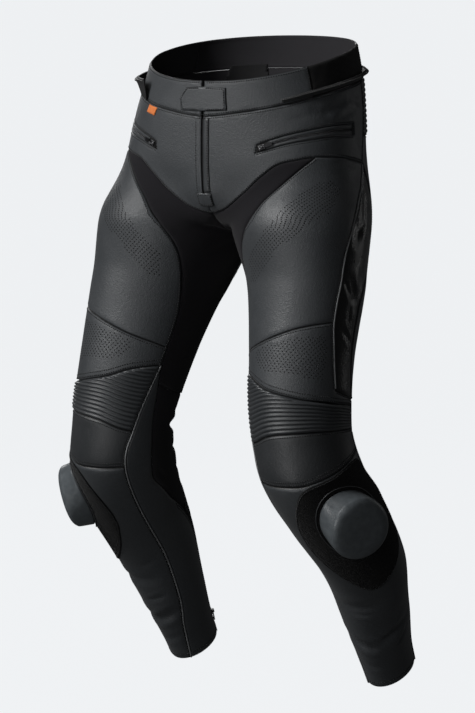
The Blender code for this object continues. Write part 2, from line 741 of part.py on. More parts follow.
def swept_flap(name, made_of):
    """The connection zip's flap, one closed strip round the back."""
    columns = dict(zip(FLAP_COLUMNS, np.array(FLAP).T))
    turns = np.linspace(columns["turn"][0], columns["turn"][-1], FLAP_SECTIONS)
    down, width, tilt = (np.interp(turns, columns["turn"], columns[name])
                         for name in FLAP_COLUMNS[1:])
    points = []
    for turn, low, wide, angle in zip(turns, down, width, np.radians(tilt)):
        side = -1 if turn < 360 else 1
        around = turn if side < 0 else 720 - turn
        stand = FLAP_STAND_OFF + FLAP_THICKNESS / 2 * math.sin(angle)
        root, normal, below = frame_at(around, low, side, stand)
        up = -below
        run = normal * math.cos(angle) + up * math.sin(angle)
        thick = normal * math.sin(angle) - up * math.cos(angle)
        for reach, half in ((0, 0.5), (1, 0.5), (1, -0.5), (0, -0.5)):
            points.append(root + run * wide * reach + thick * half * FLAP_THICKNESS)
    faces = []
    for k in range(FLAP_SECTIONS - 1):
        for j in range(4):
            a, b = 4 * k + j, 4 * k + (j + 1) % 4
            faces.append((a, b, b + 4, a + 4))
    faces.append((3, 2, 1, 0))
    last = 4 * (FLAP_SECTIONS - 1)
    faces.append((last, last + 1, last + 2, last + 3))
    return add_object(name, points, faces, made_of)


def slider_outline():
    """The knee slider's rounded outline, as metres across and down from its middle."""
    rows = np.asarray(SLIDER_OUTLINE, float)
    count = 28
    turn = np.arctan2(rows[:, 1], rows[:, 0])
    radius = np.hypot(rows[:, 0], rows[:, 1])
    order = np.argsort(turn)
    wanted = np.linspace(-math.pi, math.pi, count, endpoint=False)
    radius = np.interp(wanted, turn[order], radius[order], period=2 * math.pi)
    soft = (np.roll(radius, 1) + 2 * radius + np.roll(radius, -1)) / 4
    return np.stack([soft * np.cos(wanted), soft * np.sin(wanted)], -1)


def knee_slider(name, side, made_of):
    """A smooth block whose back follows the hook base on the curved shin."""
    shape = slider_outline()
    around, down = SLIDER_PLACE
    lift = 2 * SEAM_GAP + OVERLAY + SLIDER_STAND_OFF
    place, normal, below = frame_at(around, down, side, lift)
    degrees = 1 / np.linalg.norm(form_point(around + 1, down) - form_point(around, down))
    across = np.cross(below, normal) * -side

    def seated(scale):
        flat = shape * scale
        return np.array([cloth_point(around + u * degrees, down + v, lift) * (side, 1, 1)
                         for u, v in flat])

    rings = [seated(scale) for scale in SLIDER_SEAT_RINGS]
    top = place + normal * SLIDER_HEIGHT
    rim = rings[-1]
    for scale, height in SLIDER_RINGS:
        flat = shape * scale
        plane = top + flat[:, :1] * across + flat[:, 1:] * below
        plane = plane - normal * (SLIDER_HEIGHT * (1 - height))
        rise = np.clip((height - 0.1) / 0.5, 0, 1)
        stand = seated(scale) + normal * (SLIDER_HEIGHT * height * 0.5)
        rings.append(plane * rise + stand * (1 - rise))
    points = [cloth_point(around, down, lift) * (side, 1, 1)]
    for ring in rings:
        points.extend(ring)
    points.append(top)
    count = len(rim)
    faces = []
    for k in range(count):
        n = (k + 1) % count
        faces.append((0, 1 + n, 1 + k))
        for ring in range(len(rings) - 1):
            a = 1 + ring * count
            faces.append((a + k, a + n, a + count + n, a + count + k))
        a = 1 + (len(rings) - 1) * count
        faces.append((a + k, a + n, len(points) - 1))
    if side > 0:
        faces = [face[::-1] for face in faces]
    return add_object(name, points, faces, made_of)


def holed_plate(outer, hole, to_world):
    """A plate with one hole, as points and faces.

    Each outline has the same count of (x, y, half thickness) rows.
    """
    count = len(outer)
    points = [to_world(x, y, way * half) for way in (-1, 1) for x, y, half in outer + hole]
    faces = []
    for k in range(count):
        n = (k + 1) % count
        inner, up = count, 2 * count
        faces.append((k, inner + k, inner + n, n))
        faces.append((up + k, up + n, up + inner + n, up + inner + k))
        faces.append((k, n, up + n, up + k))
        faces.append((inner + k, up + inner + k, up + inner + n, inner + n))
    return points, faces


def zip_slider(name, around, down, around_to, down_to, side, sunk, metal):
    """A zip slider with its crown, and a pull tab whose end bar turns under the crown.

    The tab lies along the zip, towards around_to and down_to.
    """
    place, normal, _ = frame_at(around, down, side, -sunk)
    onward, _, _ = frame_at(around_to, down_to, side, -sunk)
    along = onward - place
    along = along - (along @ normal) * normal
    along = along / np.linalg.norm(along)
    across = np.cross(normal, along)
    floor = SEAM_GAP
    top = floor + BODY_HEIGHT
    hinge = top + CROWN_CLEAR / 2

    def world(x, y, z):
        return place + along * x + across * y + normal * z

    half, crown = BODY_LENGTH / 2, CROWN_LENGTH / 2
    opening = crown - CROWN_BAR
    roof = top + CROWN_CLEAR
    peak = roof + CROWN_BAR
    wide, slim = BODY_WIDTH / 2, CROWN_WIDTH / 2
    corner = 0.0005
    outer = ((-half, floor, wide), (half, floor, wide), (half, top, wide), (crown, top, slim),
             (crown, peak - corner, slim), (crown - corner, peak, slim),
             (corner - crown, peak, slim), (-crown, peak - corner, slim), (-crown, top, slim),
             (-half, top, wide))
    sill = top + 0.0001
    edge = opening - 0.0001
    hole = ((-edge + corner, sill, slim), (edge - corner, sill, slim), (edge, sill, slim),
            (opening, 2 * sill - top, slim), (opening, roof - corner, slim),
            (opening - corner, roof, slim), (corner - opening, roof, slim),
            (-opening, roof - corner, slim), (-opening, 2 * sill - top, slim),
            (-edge, sill, slim))
    points, faces = holed_plate(outer, hole, lambda x, z, y: world(x, y, z))
    slider = add_object(name, points, [face[::-1] for face in faces], metal)

    reach = PULL_LENGTH - CROWN_BAR / 2
    bar = CROWN_BAR / 2
    wide, eye = PULL_WIDTH / 2, PULL_EYE_WIDTH / 2
    far = bar + PULL_EYE_LENGTH
    flat = PULL_THICKNESS / 2
    right = ((bar, -eye - 0.0010), (0.004, -wide * 0.8), (reach - 0.0015, -wide),
             (reach, -wide * 0.6))
    slot_right = ((bar + 0.0003, -eye), (bar + 0.0012, -eye), (far - corner, -eye),
                  (far, -eye * 0.5))
    plate = [(-bar, -eye - 0.0006), *right, *((x, -y) for x, y in right[::-1]),
             (-bar, eye + 0.0006)]
    slot = [(bar, corner - eye), *slot_right, *((x, -y) for x, y in slot_right[::-1]),
            (bar, eye - corner)]
    cosine, sine = math.cos(PULL_DROOP), math.sin(PULL_DROOP)
    ahead = along * cosine - normal * sine
    up = normal * cosine + along * sine

    def on_pull(x, y, z):
        return ahead * x + across * y + up * z

    points, faces = holed_plate([(x, y, flat) for x, y in plate], [(x, y, flat) for x, y in slot],
                                on_pull)
    pull = add_object(name.replace("slider", "pull"), points, faces, metal)
    pull.location = Vector(world(0, 0, hinge))
    return slider, pull


for old in list(bpy.data.objects):
    bpy.data.objects.remove(old)

leather = material("leather", (0.055, 0.058, 0.060), 0.48)
gloss_leather = material("gloss_leather", (0.020, 0.021, 0.022), 0.33)
stretch = material("stretch_cloth", (0.022, 0.021, 0.023), 0.90)
elastic = material("elastic", (0.014, 0.014, 0.015), 0.88)
hook = material("hook_and_loop", (0.008, 0.008, 0.009), 0.97)
tape = material("zip_tape", (0.012, 0.012, 0.013), 0.80)
plastic = material("slider_plastic", (0.075, 0.085, 0.090), 0.42)
metal = material("zip_metal", (0.16, 0.16, 0.17), 0.35, 0.9)
orange = material("orange_tag", (0.80, 0.22, 0.05), 0.70)
label = material("label_cloth", (0.015, 0.015, 0.016), 0.85)

seam_lines = {name: curve(points) for name, points in SEAMS.items()}
fly = [(across_front(FLY_HALF_WIDTH, down), down) for down in np.linspace(0, FLY_END, 11)]
seam_lines["fly"] = np.array(fly + [(0, FLY_END + 0.004)])
join_ends({name: line for name, line in seam_lines.items() if name != "fly"})
windows = [window_outline()]
overlay_lines = {
    "hook_base": closed(HOOK_BASE),
    "belt_tab_left": outline(BELT_TAB_LEFT),
    "belt_tab_right": outline(BELT_TAB_RIGHT),
    "waist_tag": outline(WAIST_TAG),
    "size_label": outline(SIZE_LABEL),
    "fly_placket": front_strip(FLY_HALF_WIDTH + 0.0005, PLACKET_WIDTH, 0.0565, FLY_END),
    "fly_patch": front_strip(0, PATCH_HALF_WIDTH, FLY_END + 0.002, FLY_END + PATCH_LENGTH),
    "fly_tape": front_strip(0, FLY_TAPE_HALF_WIDTH, 0.058, FLY_END),
}
net_places, net, cut_edges = cut_pattern()
panels = panel_triangles()
covers = {name: covered_triangles(line) for name, line in overlay_lines.items()}

PANEL_MATERIALS = {
    "waistband_elastic": elastic,
    "side_thigh": gloss_leather,
    "stretch_inner_thigh": stretch,
    "knee_back": stretch,
    "calf_zip_tape": tape,
    "pocket_zip_tape": tape,
}
RIB_COUNTS = {"knee_ribs": knee_rib_count, "back_ribs": back_rib_count}
ACROSS_BACK = ("waistband_back", "back_ribs")
for panel, members in panels.items():
    made_of = PANEL_MATERIALS.get(panel, leather)
    ribbed = RIB_COUNTS.get(panel)
    sunk = -TAPE_SUNK if panel.endswith("zip_tape") else 0.0
    thick = OVERLAY if panel.endswith("zip_tape") else LEATHER
    if panel in ACROSS_BACK:
        cloth_piece(panel, ((members, 1), (members, -1)), made_of, rib_count=ribbed)
        continue
    for side, word in ((1, "left"), (-1, "right")):
        cloth_piece(f"{panel}_{word}", ((members, side),), made_of, lift=sunk, wall=thick,
                    rib_count=ribbed)

over = SEAM_GAP + OVERLAY
under = -LEATHER - SEAM_GAP
cloth_piece("belt_tab", ((covers["belt_tab_left"], 1), (covers["belt_tab_right"], -1)), leather,
            lift=SEAM_GAP + LEATHER)
cloth_piece("fly_placket", ((covers["fly_placket"], 1),), leather, lift=over, wall=OVERLAY)
cloth_piece("fly_patch", ((covers["fly_patch"], 1), (covers["fly_patch"], -1)), leather,
            lift=over, wall=OVERLAY)
cloth_piece("fly_zip_tape", ((covers["fly_tape"], 1), (covers["fly_tape"], -1)), tape,
            lift=under, wall=OVERLAY)
cloth_piece("waist_tag", ((covers["waist_tag"], -1),), orange, lift=over, wall=OVERLAY)
cloth_piece("size_label", ((covers["size_label"], -1),), label, lift=under, wall=LABEL)
for side, word in ((1, "left"), (-1, "right")):
    cloth_piece(f"hook_base_{word}", ((covers["hook_base"], side),), hook, lift=over,
                wall=OVERLAY)
    knee_slider(f"knee_slider_{word}", side, plastic)
    zip_slider(f"pocket_slider_{word}", *POCKET_SLIDER, side, TAPE_SUNK, metal)
    zip_slider(f"calf_slider_{word}", *CALF_SLIDER, side, TAPE_SUNK, metal)
swept_flap("connection_zip_flap", tape)
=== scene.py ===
# %% [markdown]
# # Leather motorcycle trousers, filled out as worn
#
# The trousers are cut from one pattern. Every place on it has two numbers: around, in degrees round
# the half body or the leg, and down, in metres along the cloth from the waist. A smooth formula turns
# a place on the pattern into a point in space. So a seam, a row of stitches or a zip can be drawn
# flat, where it is easy, and it lies on the curved leather by itself.
#
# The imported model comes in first. It holds the true sizes, and each finished piece takes the place
# of one of its solids.

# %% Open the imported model
import math

import bpy
import numpy as np
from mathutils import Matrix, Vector
from mathutils.geometry import delaunay_2d_cdt
from mathutils.kdtree import KDTree


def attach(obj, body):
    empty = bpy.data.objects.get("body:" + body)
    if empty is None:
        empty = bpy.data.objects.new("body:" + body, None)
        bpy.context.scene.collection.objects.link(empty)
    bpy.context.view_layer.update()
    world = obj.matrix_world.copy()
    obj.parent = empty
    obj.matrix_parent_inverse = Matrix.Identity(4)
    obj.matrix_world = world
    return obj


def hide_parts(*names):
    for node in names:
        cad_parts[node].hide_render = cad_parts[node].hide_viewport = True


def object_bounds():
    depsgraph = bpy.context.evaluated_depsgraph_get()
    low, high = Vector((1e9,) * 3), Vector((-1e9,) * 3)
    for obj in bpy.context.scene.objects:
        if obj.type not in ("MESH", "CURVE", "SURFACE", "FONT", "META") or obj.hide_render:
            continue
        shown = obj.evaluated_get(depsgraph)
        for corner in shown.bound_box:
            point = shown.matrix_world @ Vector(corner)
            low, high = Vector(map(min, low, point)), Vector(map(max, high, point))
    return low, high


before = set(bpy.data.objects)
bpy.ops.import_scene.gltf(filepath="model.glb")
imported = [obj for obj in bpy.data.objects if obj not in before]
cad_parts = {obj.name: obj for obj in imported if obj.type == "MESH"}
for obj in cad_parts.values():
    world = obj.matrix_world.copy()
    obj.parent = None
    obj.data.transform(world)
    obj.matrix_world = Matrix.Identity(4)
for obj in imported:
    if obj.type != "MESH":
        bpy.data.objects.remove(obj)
cad_low, cad_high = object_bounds()
BODY = "trousers"
print("packed model:", len(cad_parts), "pieces,", [round(v, 3) for v in cad_high - cad_low])

# %% [markdown]
# ## Camera
#
# A long lens from nearly five metres away keeps the two legs close to their true proportions, as in
# a catalogue picture. The camera stands to the wearer's left of straight ahead, a little above the
# knees. Its aim is worked out so that the waist lands where it should in the picture.

# %% Camera
VIEW_TURN = math.radians(34)
VIEW_RISE = math.radians(7)
VIEW_DISTANCE = 4.8
METRES_PER_PIXEL = 1.45e-3
PICTURE = (475, 713)
WAIST_IN_PICTURE = (257.0, 76.0)
SENSOR = 36.0

view_back = Vector((math.sin(VIEW_TURN) * math.cos(VIEW_RISE),
                    -math.cos(VIEW_TURN) * math.cos(VIEW_RISE), math.sin(VIEW_RISE)))
view_right = Vector((math.cos(VIEW_TURN), math.sin(VIEW_TURN), 0))
view_up = view_back.cross(view_right)
aim = (view_right * ((PICTURE[0] / 2 - WAIST_IN_PICTURE[0]) * METRES_PER_PIXEL)
       - view_up * ((PICTURE[1] / 2 - WAIST_IN_PICTURE[1]) * METRES_PER_PIXEL))
camera = bpy.data.objects.new("camera", bpy.data.cameras.new("camera"))
bpy.context.scene.collection.objects.link(camera)
camera.location = aim + view_back * VIEW_DISTANCE
camera.rotation_mode = "QUATERNION"
camera.rotation_quaternion = (-view_back).to_track_quat("-Z", "Y")
camera.data.sensor_width = SENSOR
camera.data.lens = SENSOR * VIEW_DISTANCE / (PICTURE[1] * METRES_PER_PIXEL)
bpy.context.scene.camera = camera
print("lens", round(camera.data.lens, 1), "mm")

# %% [markdown]
# ## Studio
#
# Black leather shows its shape by what it reflects. One broad light high on the camera's left gives
# the soft sheen on the front of each thigh. A tall narrow one behind on the right draws the bright
# edge of the glossy side panels. A small low one reaches the shins, and a soft one behind the seat.
# The room itself stays dim, or every edge would turn grey.

# %% Floor and lights
FLOOR_DROP = 0.22
FLOOR_HALF = 300.0
PALE = (0.855, 0.872, 0.89)
ROOM_STRENGTH = 0.05
KNEES = Vector((0, 0, -0.40))
LIGHTS = (
    # name, metres right, up and towards the camera from the knees, target, width, height, watts
    ("key_light", (-2.4, 1.9, 1.1), (0, -0.05, -0.25), 1.1, 1.3, 92),
    ("front_light", (-1.0, 1.2, 3.2), (0, -0.05, -0.45), 1.2, 1.2, 8),
    ("low_light", (-1.5, -0.55, 1.8), (0.05, 0, -0.74), 0.6, 0.4, 10),
    ("edge_light", (2.2, 0.5, -0.9), (0.1, 0, -0.30), 0.08, 1.2, 1.2),
    ("back_light", (-0.7, 1.3, -3.0), (0, 0.05, -0.45), 1.6, 1.6, 30),
)


def link(thing):
    bpy.context.scene.collection.objects.link(thing)
    return thing


def softbox(name, place, target, width, height, power):
    """A rectangular light that faces the target."""
    lamp = bpy.data.lights.new(name, "AREA")
    lamp.shape = "RECTANGLE"
    lamp.size = width
    lamp.size_y = height
    lamp.energy = power
    thing = link(bpy.data.objects.new(name, lamp))
    thing.location = place
    thing.rotation_mode = "QUATERNION"
    thing.rotation_quaternion = (Vector(target) - thing.location).to_track_quat("-Z", "Y")


def around_camera(right, up, back):
    """A place given as metres to the camera's right, up, and towards it, from the knees."""
    flat_back = Vector((view_back.x, view_back.y, 0)).normalized()
    return KNEES + view_right * right + Vector((0, 0, up)) + flat_back * back


for name, place, target, width, height, watts in LIGHTS:
    softbox(name, around_camera(*place), target, width, height, watts)

room = bpy.data.worlds.new("room")
bpy.context.scene.world = room
room.use_nodes = True
room_light = room.node_tree.nodes["Background"]
room_light.inputs["Color"].default_value = (*PALE, 1)
room_light.inputs["Strength"].default_value = ROOM_STRENGTH
bpy.context.scene.view_settings.view_transform = "Standard"

floor_level = cad_low.z - FLOOR_DROP
floor_mesh = bpy.data.meshes.new("floor")
floor_corners = [(x * FLOOR_HALF, y * FLOOR_HALF, floor_level)
                 for x, y in ((-1, -1), (1, -1), (1, 1), (-1, 1))]
floor_mesh.from_pydata(floor_corners, [], [(0, 1, 2, 3)])
floor = link(bpy.data.objects.new("floor", floor_mesh))
floor_paint = bpy.data.materials.new("floor_paint")
floor_paint.use_nodes = True
floor_shader = floor_paint.node_tree.nodes["Principled BSDF"]
for socket, value in (("Base Color", (0.02, 0.02, 0.02, 1)), ("Roughness", 1.0),
                      ("Specular IOR Level", 0.0), ("Emission Color", (*PALE, 1)),
                      ("Emission Strength", 1.0)):
    floor_shader.inputs[socket].default_value = value
floor.data.materials.append(floor_paint)
floor.visible_glossy = False
floor.visible_diffuse = False
print("floor at", round(floor_level, 3))

# %% [markdown]
# ## The form
#
# Two tables say how wide and deep the body and one leg are at each ring. A smooth line through the
# rows gives every ring between them. Above the crotch the two forms flow into each other. The knees
# are bent, as racing trousers are cut for sitting on a motorcycle, so the leg's rings lean.

# %% Rings of the body and the leg
CROTCH = 0.252
CROTCH_CLEAR = 0.006
EASE_REACH = 0.034
EASE_SPAN = 0.060
EASE_SAMPLES = 13
INSEAM_FROM = 0.02
INSEAM_SPAN = 0.25
HIP_END = 0.120
CENTRE_END = 0.172
BACK_SQUARENESS = 0.3
LENGTH = 0.970
HIP_COLUMNS = ("down", "centre_y", "centre_z", "half_width", "front", "back", "front_drop",
               "side_lift", "squareness", "evenness")
HIP = (
    (0.000, -0.012, 0.027, 0.1540, 0.1260, 0.142, 0.0290, 0.008, 2.15, 1.0),
    (0.027, -0.014, 0.000, 0.1625, 0.1250, 0.142, 0.0280, 0.008, 2.15, 1.0),
    (0.054, -0.018, -0.027, 0.1700, 0.1220, 0.142, 0.0260, 0.006, 2.2, 1.0),
    (0.100, -0.026, -0.073, 0.1800, 0.1150, 0.140, 0.016, 0.002, 2.3, 0.8),
    (0.142, -0.034, -0.115, 0.1865, 0.1070, 0.138, 0.008, 0.000, 2.4, 0.5),
    (0.182, -0.042, -0.155, 0.1935, 0.0970, 0.136, 0.002, 0.000, 2.4, 0.2),
    (0.222, -0.048, -0.190, 0.2000, 0.0920, 0.130, 0.000, 0.000, 2.3, 0.1),
    (0.252, -0.052, -0.222, 0.2060, 0.0900, 0.120, 0.000, 0.000, 2.2, 0.1),
)
LEG_COLUMNS = ("down", "centre_x", "centre_y", "centre_z", "half_width", "front", "back",
               "lean_degrees", "skew")
LEG = (
    (0.100, 0.093, -0.022, -0.073, 0.093, 0.111, 0.126, 6, 0.02),
    (0.142, 0.0965, -0.028, -0.115, 0.0965, 0.110, 0.122, 8, 0.04),
    (0.182, 0.102, -0.034, -0.155, 0.102, 0.109, 0.118, 10, 0.08),
    (0.222, 0.1055, -0.042, -0.190, 0.1055, 0.108, 0.111, 12, 0.11),
    (0.252, 0.108, -0.050, -0.222, 0.1080, 0.106, 0.104, 14, 0.14),
    (0.323, 0.125, -0.064, -0.291, 0.094, 0.092, 0.091, 16, 0.16),
    (0.353, 0.131, -0.073, -0.320, 0.0885, 0.088, 0.085, 16, 0.16),
    (0.427, 0.1405, -0.0965, -0.390, 0.0795, 0.080, 0.078, 15, 0.12),
    (0.502, 0.1505, -0.114, -0.4616, 0.0750, 0.076, 0.073, 8, 0.06),
    (0.546, 0.1570, -0.117, -0.505, 0.0730, 0.074, 0.070, -2, 0.04),
    (0.593, 0.165, -0.107, -0.550, 0.0745, 0.078, 0.072, -16, 0.06),
    (0.666, 0.178, -0.064, -0.612, 0.070, 0.074, 0.068, -30, 0.06),
    (0.767, 0.186, 0.000, -0.696, 0.060, 0.062, 0.063, -34, 0.04),
    (0.860, 0.182, 0.043, -0.775, 0.047, 0.054, 0.052, -32, 0.0),
    (0.929, 0.178, 0.074, -0.834, 0.038, 0.047, 0.043, -32, 0.0),
    (0.970, 0.1765, 0.092, -0.868, 0.036, 0.045, 0.040, -32, 0.0),
)


def smooth(table, down):
    """Every column of a table at the given places, on a smooth line through its rows."""
    rows = np.asarray(table, float)
    x = rows[:, 0]
    down = np.clip(np.asarray(down, float), x[0], x[-1])
    slope = np.empty_like(rows)
    slope[1:-1] = (rows[2:] - rows[:-2]) / (x[2:] - x[:-2])[:, None]
    slope[0] = (rows[1] - rows[0]) / (x[1] - x[0])
    slope[-1] = (rows[-1] - rows[-2]) / (x[-1] - x[-2])
    i = np.clip(np.searchsorted(x, down, side="right") - 1, 0, len(x) - 2)
    step = x[i + 1] - x[i]
    t = ((down - x[i]) / step)[..., None]
    step = step[..., None]
    ends = rows[i] * (2 * t**3 - 3 * t**2 + 1) + rows[i + 1] * (3 * t**2 - 2 * t**3)
    return ends + step * (slope[i] * (t**3 - 2 * t**2 + t) + slope[i + 1] * (t**3 - t**2))


def squared(value, squareness):
    """A sine or cosine pushed out towards a rounded square."""
    return np.sign(value) * np.abs(value) ** (2 / squareness)


# %% From the pattern to space
def hip_point(around, down):
    ring = dict(zip(HIP_COLUMNS, np.moveaxis(smooth(HIP, down), -1, 0)))
    plain = np.radians(around) / 2
    leg_like = np.arcsin(np.clip(np.sin(plain) ** 2, 0, 1))
    leg_like = np.where(around > 180, math.pi - leg_like, leg_like)
    turn = ring["evenness"] * plain + (1 - ring["evenness"]) * leg_like
    square = ring["squareness"]
    square = np.where(turn < math.pi / 2, square, 2 + BACK_SQUARENESS * (square - 2))
    side = squared(np.sin(turn), square)
    ahead = squared(np.cos(turn), square)
    y = ring["centre_y"] - np.where(ahead > 0, ring["front"], ring["back"]) * ahead
    z = ring["centre_z"] - ring["front_drop"] * np.cos(turn)
    z = z + ring["side_lift"] * np.sin(turn) ** 2
    return np.stack([ring["half_width"] * side, y, z], -1)


def leg_point(around, down):
    ring = dict(zip(LEG_COLUMNS, np.moveaxis(smooth(LEG, down), -1, 0)))
    turn = np.radians(around)
    lean = np.radians(ring["lean_degrees"])
    centre_x = np.where(down <= CROTCH, ring["half_width"], ring["centre_x"])
    across = -ring["half_width"] * np.cos(turn)
    depth = np.where(np.sin(turn) > 0, ring["front"], ring["back"])
    ahead = depth * np.sin(turn) + ring["skew"] * across
    y = ring["centre_y"] - ahead * np.cos(lean)
    z = ring["centre_z"] + ahead * np.sin(lean)
    return np.stack([centre_x + across, y, z], -1)


def blended_point(around, down):
    """The outside of the left half, the body flowing into the leg."""
    rise = np.clip((CROTCH - down) / (CROTCH - HIP_END), 0, 1)
    slow = rise * rise * (3 - 2 * rise)
    rise = np.clip((CROTCH - down) / (CROTCH - CENTRE_END), 0, 1)
    quick = np.sqrt(rise * (2 - rise))
    near_seam = np.cos(np.radians(around) / 2) ** 4
    body = (near_seam * quick + (1 - near_seam) * slow)[..., None]
    return hip_point(around, down) * body + leg_point(around, down) * (1 - body)


def free_of_inseam(around):
    """0 at the inseam and the centre line, 1 from about a hand's width away."""
    share = np.clip((np.sin(np.radians(around) / 2) ** 2 - INSEAM_FROM) / INSEAM_SPAN, 0, 1)
    return share * share * (3 - 2 * share)


def form_point(around, down):
    """The blended form, eased where body and leg meet so that no line shows across the thigh."""
    around, down = np.broadcast_arrays(np.asarray(around, float), np.asarray(down, float))
    near = np.exp(-(((down - CROTCH) / EASE_SPAN) ** 2))
    reach = EASE_REACH * near * free_of_inseam(around)
    shares = np.linspace(-1, 1, EASE_SAMPLES)
    weights = (1 - shares**2) ** 2 + 0.001
    weights = weights / weights.sum()
    return sum(weight * blended_point(around, down + share * reach)
               for share, weight in zip(shares, weights))


def form_normal(around, down):
    """Outward unit normals, taken just clear of the sharp bend at the crotch."""
    around, down = np.broadcast_arrays(np.asarray(around, float), np.asarray(down, float))
    step_around = 1.0
    step_down = 0.002
    leg = down > CROTCH
    centre = ((around < 0.01) | (around > 359.99)) & ~leg
    crotch = centre & (down > CROTCH - 0.001)
    gap = CROTCH_CLEAR * (1 - free_of_inseam(around))
    clear = np.where(leg, CROTCH + gap, CROTCH - gap)
    down = np.where(np.abs(down - CROTCH) < gap, clear, down)
    low = np.where(leg, around - step_around, np.maximum(around - step_around, 0))
    high = np.where(leg, around + step_around, np.minimum(around + step_around, 360))
    wrap = np.where(leg, 360.0, 1e9)
    across = form_point(high % wrap, down) - form_point(low % wrap, down)
    along = (form_point(around, np.minimum(down + step_down, LENGTH))
             - form_point(around, np.maximum(down - step_down, 0)))
    normal = np.cross(along, across)
    normal[..., 0] = np.where(centre, 0, normal[..., 0])
    normal = normal / np.maximum(np.linalg.norm(normal, axis=-1, keepdims=True), 1e-12)
    normal[crotch] = (0, 0, -1)
    return normal


RING_DOWNS = np.linspace(0, LENGTH, 98)
RING_TURNS = np.linspace(0, 360, 73)
RING_POINTS = form_point(RING_TURNS[None], RING_DOWNS[:, None])
RING_LENGTHS = np.linalg.norm(np.diff(RING_POINTS, axis=1), axis=2).sum(1)
print("waist", round(2 * RING_LENGTHS[3], 3), "m, hem", round(RING_LENGTHS[-1], 3), "m round")


def flat(places):
    """Pattern places laid out flat, in metres across and down."""
    places = np.asarray(places, float)
    ring = np.interp(places[..., 1], RING_DOWNS, RING_LENGTHS)
    return np.stack([(places[..., 0] - 180) * ring / 360, places[..., 1]], -1)


def unflat(spots):
    """Pattern places of spots on the flat layout."""
    spots = np.asarray(spots, float)
    ring = np.interp(spots[..., 1], RING_DOWNS, RING_LENGTHS)
    return np.stack([spots[..., 0] * 360 / ring + 180, spots[..., 1]], -1)


# %% [markdown]
# ## Seams
#
# Each seam is a smooth line through a few places on the pattern. Corners that several seams share
# have a name of their own. The panels between the seams come later, by flooding the pattern from one
# seed place in each panel until the seams stop it.

# %% Seams and their lines
HIP_CORNER = (197, 0.147)
HIP_HEM_END = (0, 0.224)
THIGH_POINT = (127, 0.1292)
KNEE_INNER = (27.5, 0.459)
SIDE_FOOT = (200, 0.479)
SEAMS = {
    "waist": ((0, 0.054), (40, 0.048), (84, 0.045), (125, 0.043), (180, 0.044), (270, 0.046),
              (360, 0.046)),
    "elastic_front": ((122.5, 0), (122.5, 0.043)),
    "elastic_back": ((236, 0), (236, 0.045)),
    "hip_hem": (HIP_HEM_END, (22, 0.224), (42, 0.2165), (61, 0.190), (73.5, 0.161), (86, 0.1395),
                (107, 0.132), THIGH_POINT),
    "hip_hem_side": (THIGH_POINT, (160, 0.134), HIP_CORNER),
    "hip_side": ((214, 0.0445), (212, 0.075), (205, 0.112), HIP_CORNER),
    "yoke_low": ((206, 0.110), (240, 0.119), (290, 0.128), (360, 0.132)),
    "inner": (THIGH_POINT, (111, 0.151), (98, 0.181), (86, 0.215), (76.5, 0.243), (66, 0.267),
              (56, 0.285), (48, 0.304), (38.5, 0.336), (32, 0.364), (28, 0.392), (27, 0.430),
              KNEE_INNER),
    "inner_low": (KNEE_INNER, (34.5, 0.506), (43, 0.547), (50, 0.570), (52, 0.594), (50, 0.630),
                  (45, 0.696), (40, 0.780), (40, 0.860), (49.5, 0.905), (60, LENGTH)),
    "side_front": (HIP_CORNER, (187.5, 0.178), (179, 0.206), (165.5, 0.276), (159.5, 0.332),
                   (157, 0.381), (161, 0.420), (166, 0.474)),
    "side_foot": ((166, 0.474), (183, 0.478), SIDE_FOOT),
    "outer": (SIDE_FOOT, (200, 0.500), (201, 0.527), (210, 0.562), (212, 0.612), (217, 0.690),
              (219, 0.770), (217, 0.870), (213, LENGTH)),
    "side_back": (HIP_CORNER, (206, 0.180), (213, 0.225), (213, 0.262), (204, 0.300),
                  (194, 0.340), (192, 0.400), (197, 0.450), SIDE_FOOT),
    "seat_low": ((213, 0.265), (250, 0.297), (300, 0.312), (341, 0.300)),
    "seat_inner": ((360, 0.226), (349, 0.256), (341, 0.300), (333, 0.380), (329, 0.450),
                   (327, 0.4965)),
    "thigh": ((157, 0.381), (118, 0.399), (95, 0.411), (66, 0.424), (27.5, 0.434)),
    "knee_top_low": (KNEE_INNER, (58, 0.470), (82, 0.482), (114, 0.489), (140, 0.491),
                     (170, 0.4915), (200, 0.491)),
    "ribs_low": ((43, 0.548), (59, 0.544), (84, 0.535), (118, 0.530), (151, 0.527), (201, 0.526)),
    "knee_low": ((51.5, 0.590), (75, 0.589), (95, 0.588), (115, 0.587), (135, 0.583),
                 (160, 0.577), (190, 0.567), (211, 0.562)),
    "knee_back_top": (SIDE_FOOT, (250, 0.487), (300, 0.494), (327, 0.4965), (345, 0.497),
                      (360, 0.495)),
    "knee_back_inner": ((0, 0.495), (12, 0.490), (23.5, 0.486)),
    "inner_back": ((27.5, 0.464), (24, 0.486), (21.5, 0.508), (19.5, 0.562), (23, 0.606),
                   (22.5, 0.624), (14.5, 0.646), (6.5, 0.672), (0, 0.688)),
    "inner_back_low": ((360, 0.688), (349, 0.714), (329, 0.776), (320, 0.836), (317, 0.908),
                       (316, LENGTH)),
    "knee_back_low": ((213, 0.620), (240, 0.644), (280, 0.670), (320, 0.698), (347, 0.719)),
    "zip_back": ((340, 0.714), (314, 0.776), (304, 0.836), (300, 0.908), (299, LENGTH)),
}
FLY_HALF_WIDTH = 0.0016
FLY_END = 0.186
JOIN_REACH = 0.006
NET_SPACING = 0.0044
LINE_STEP = 0.0035


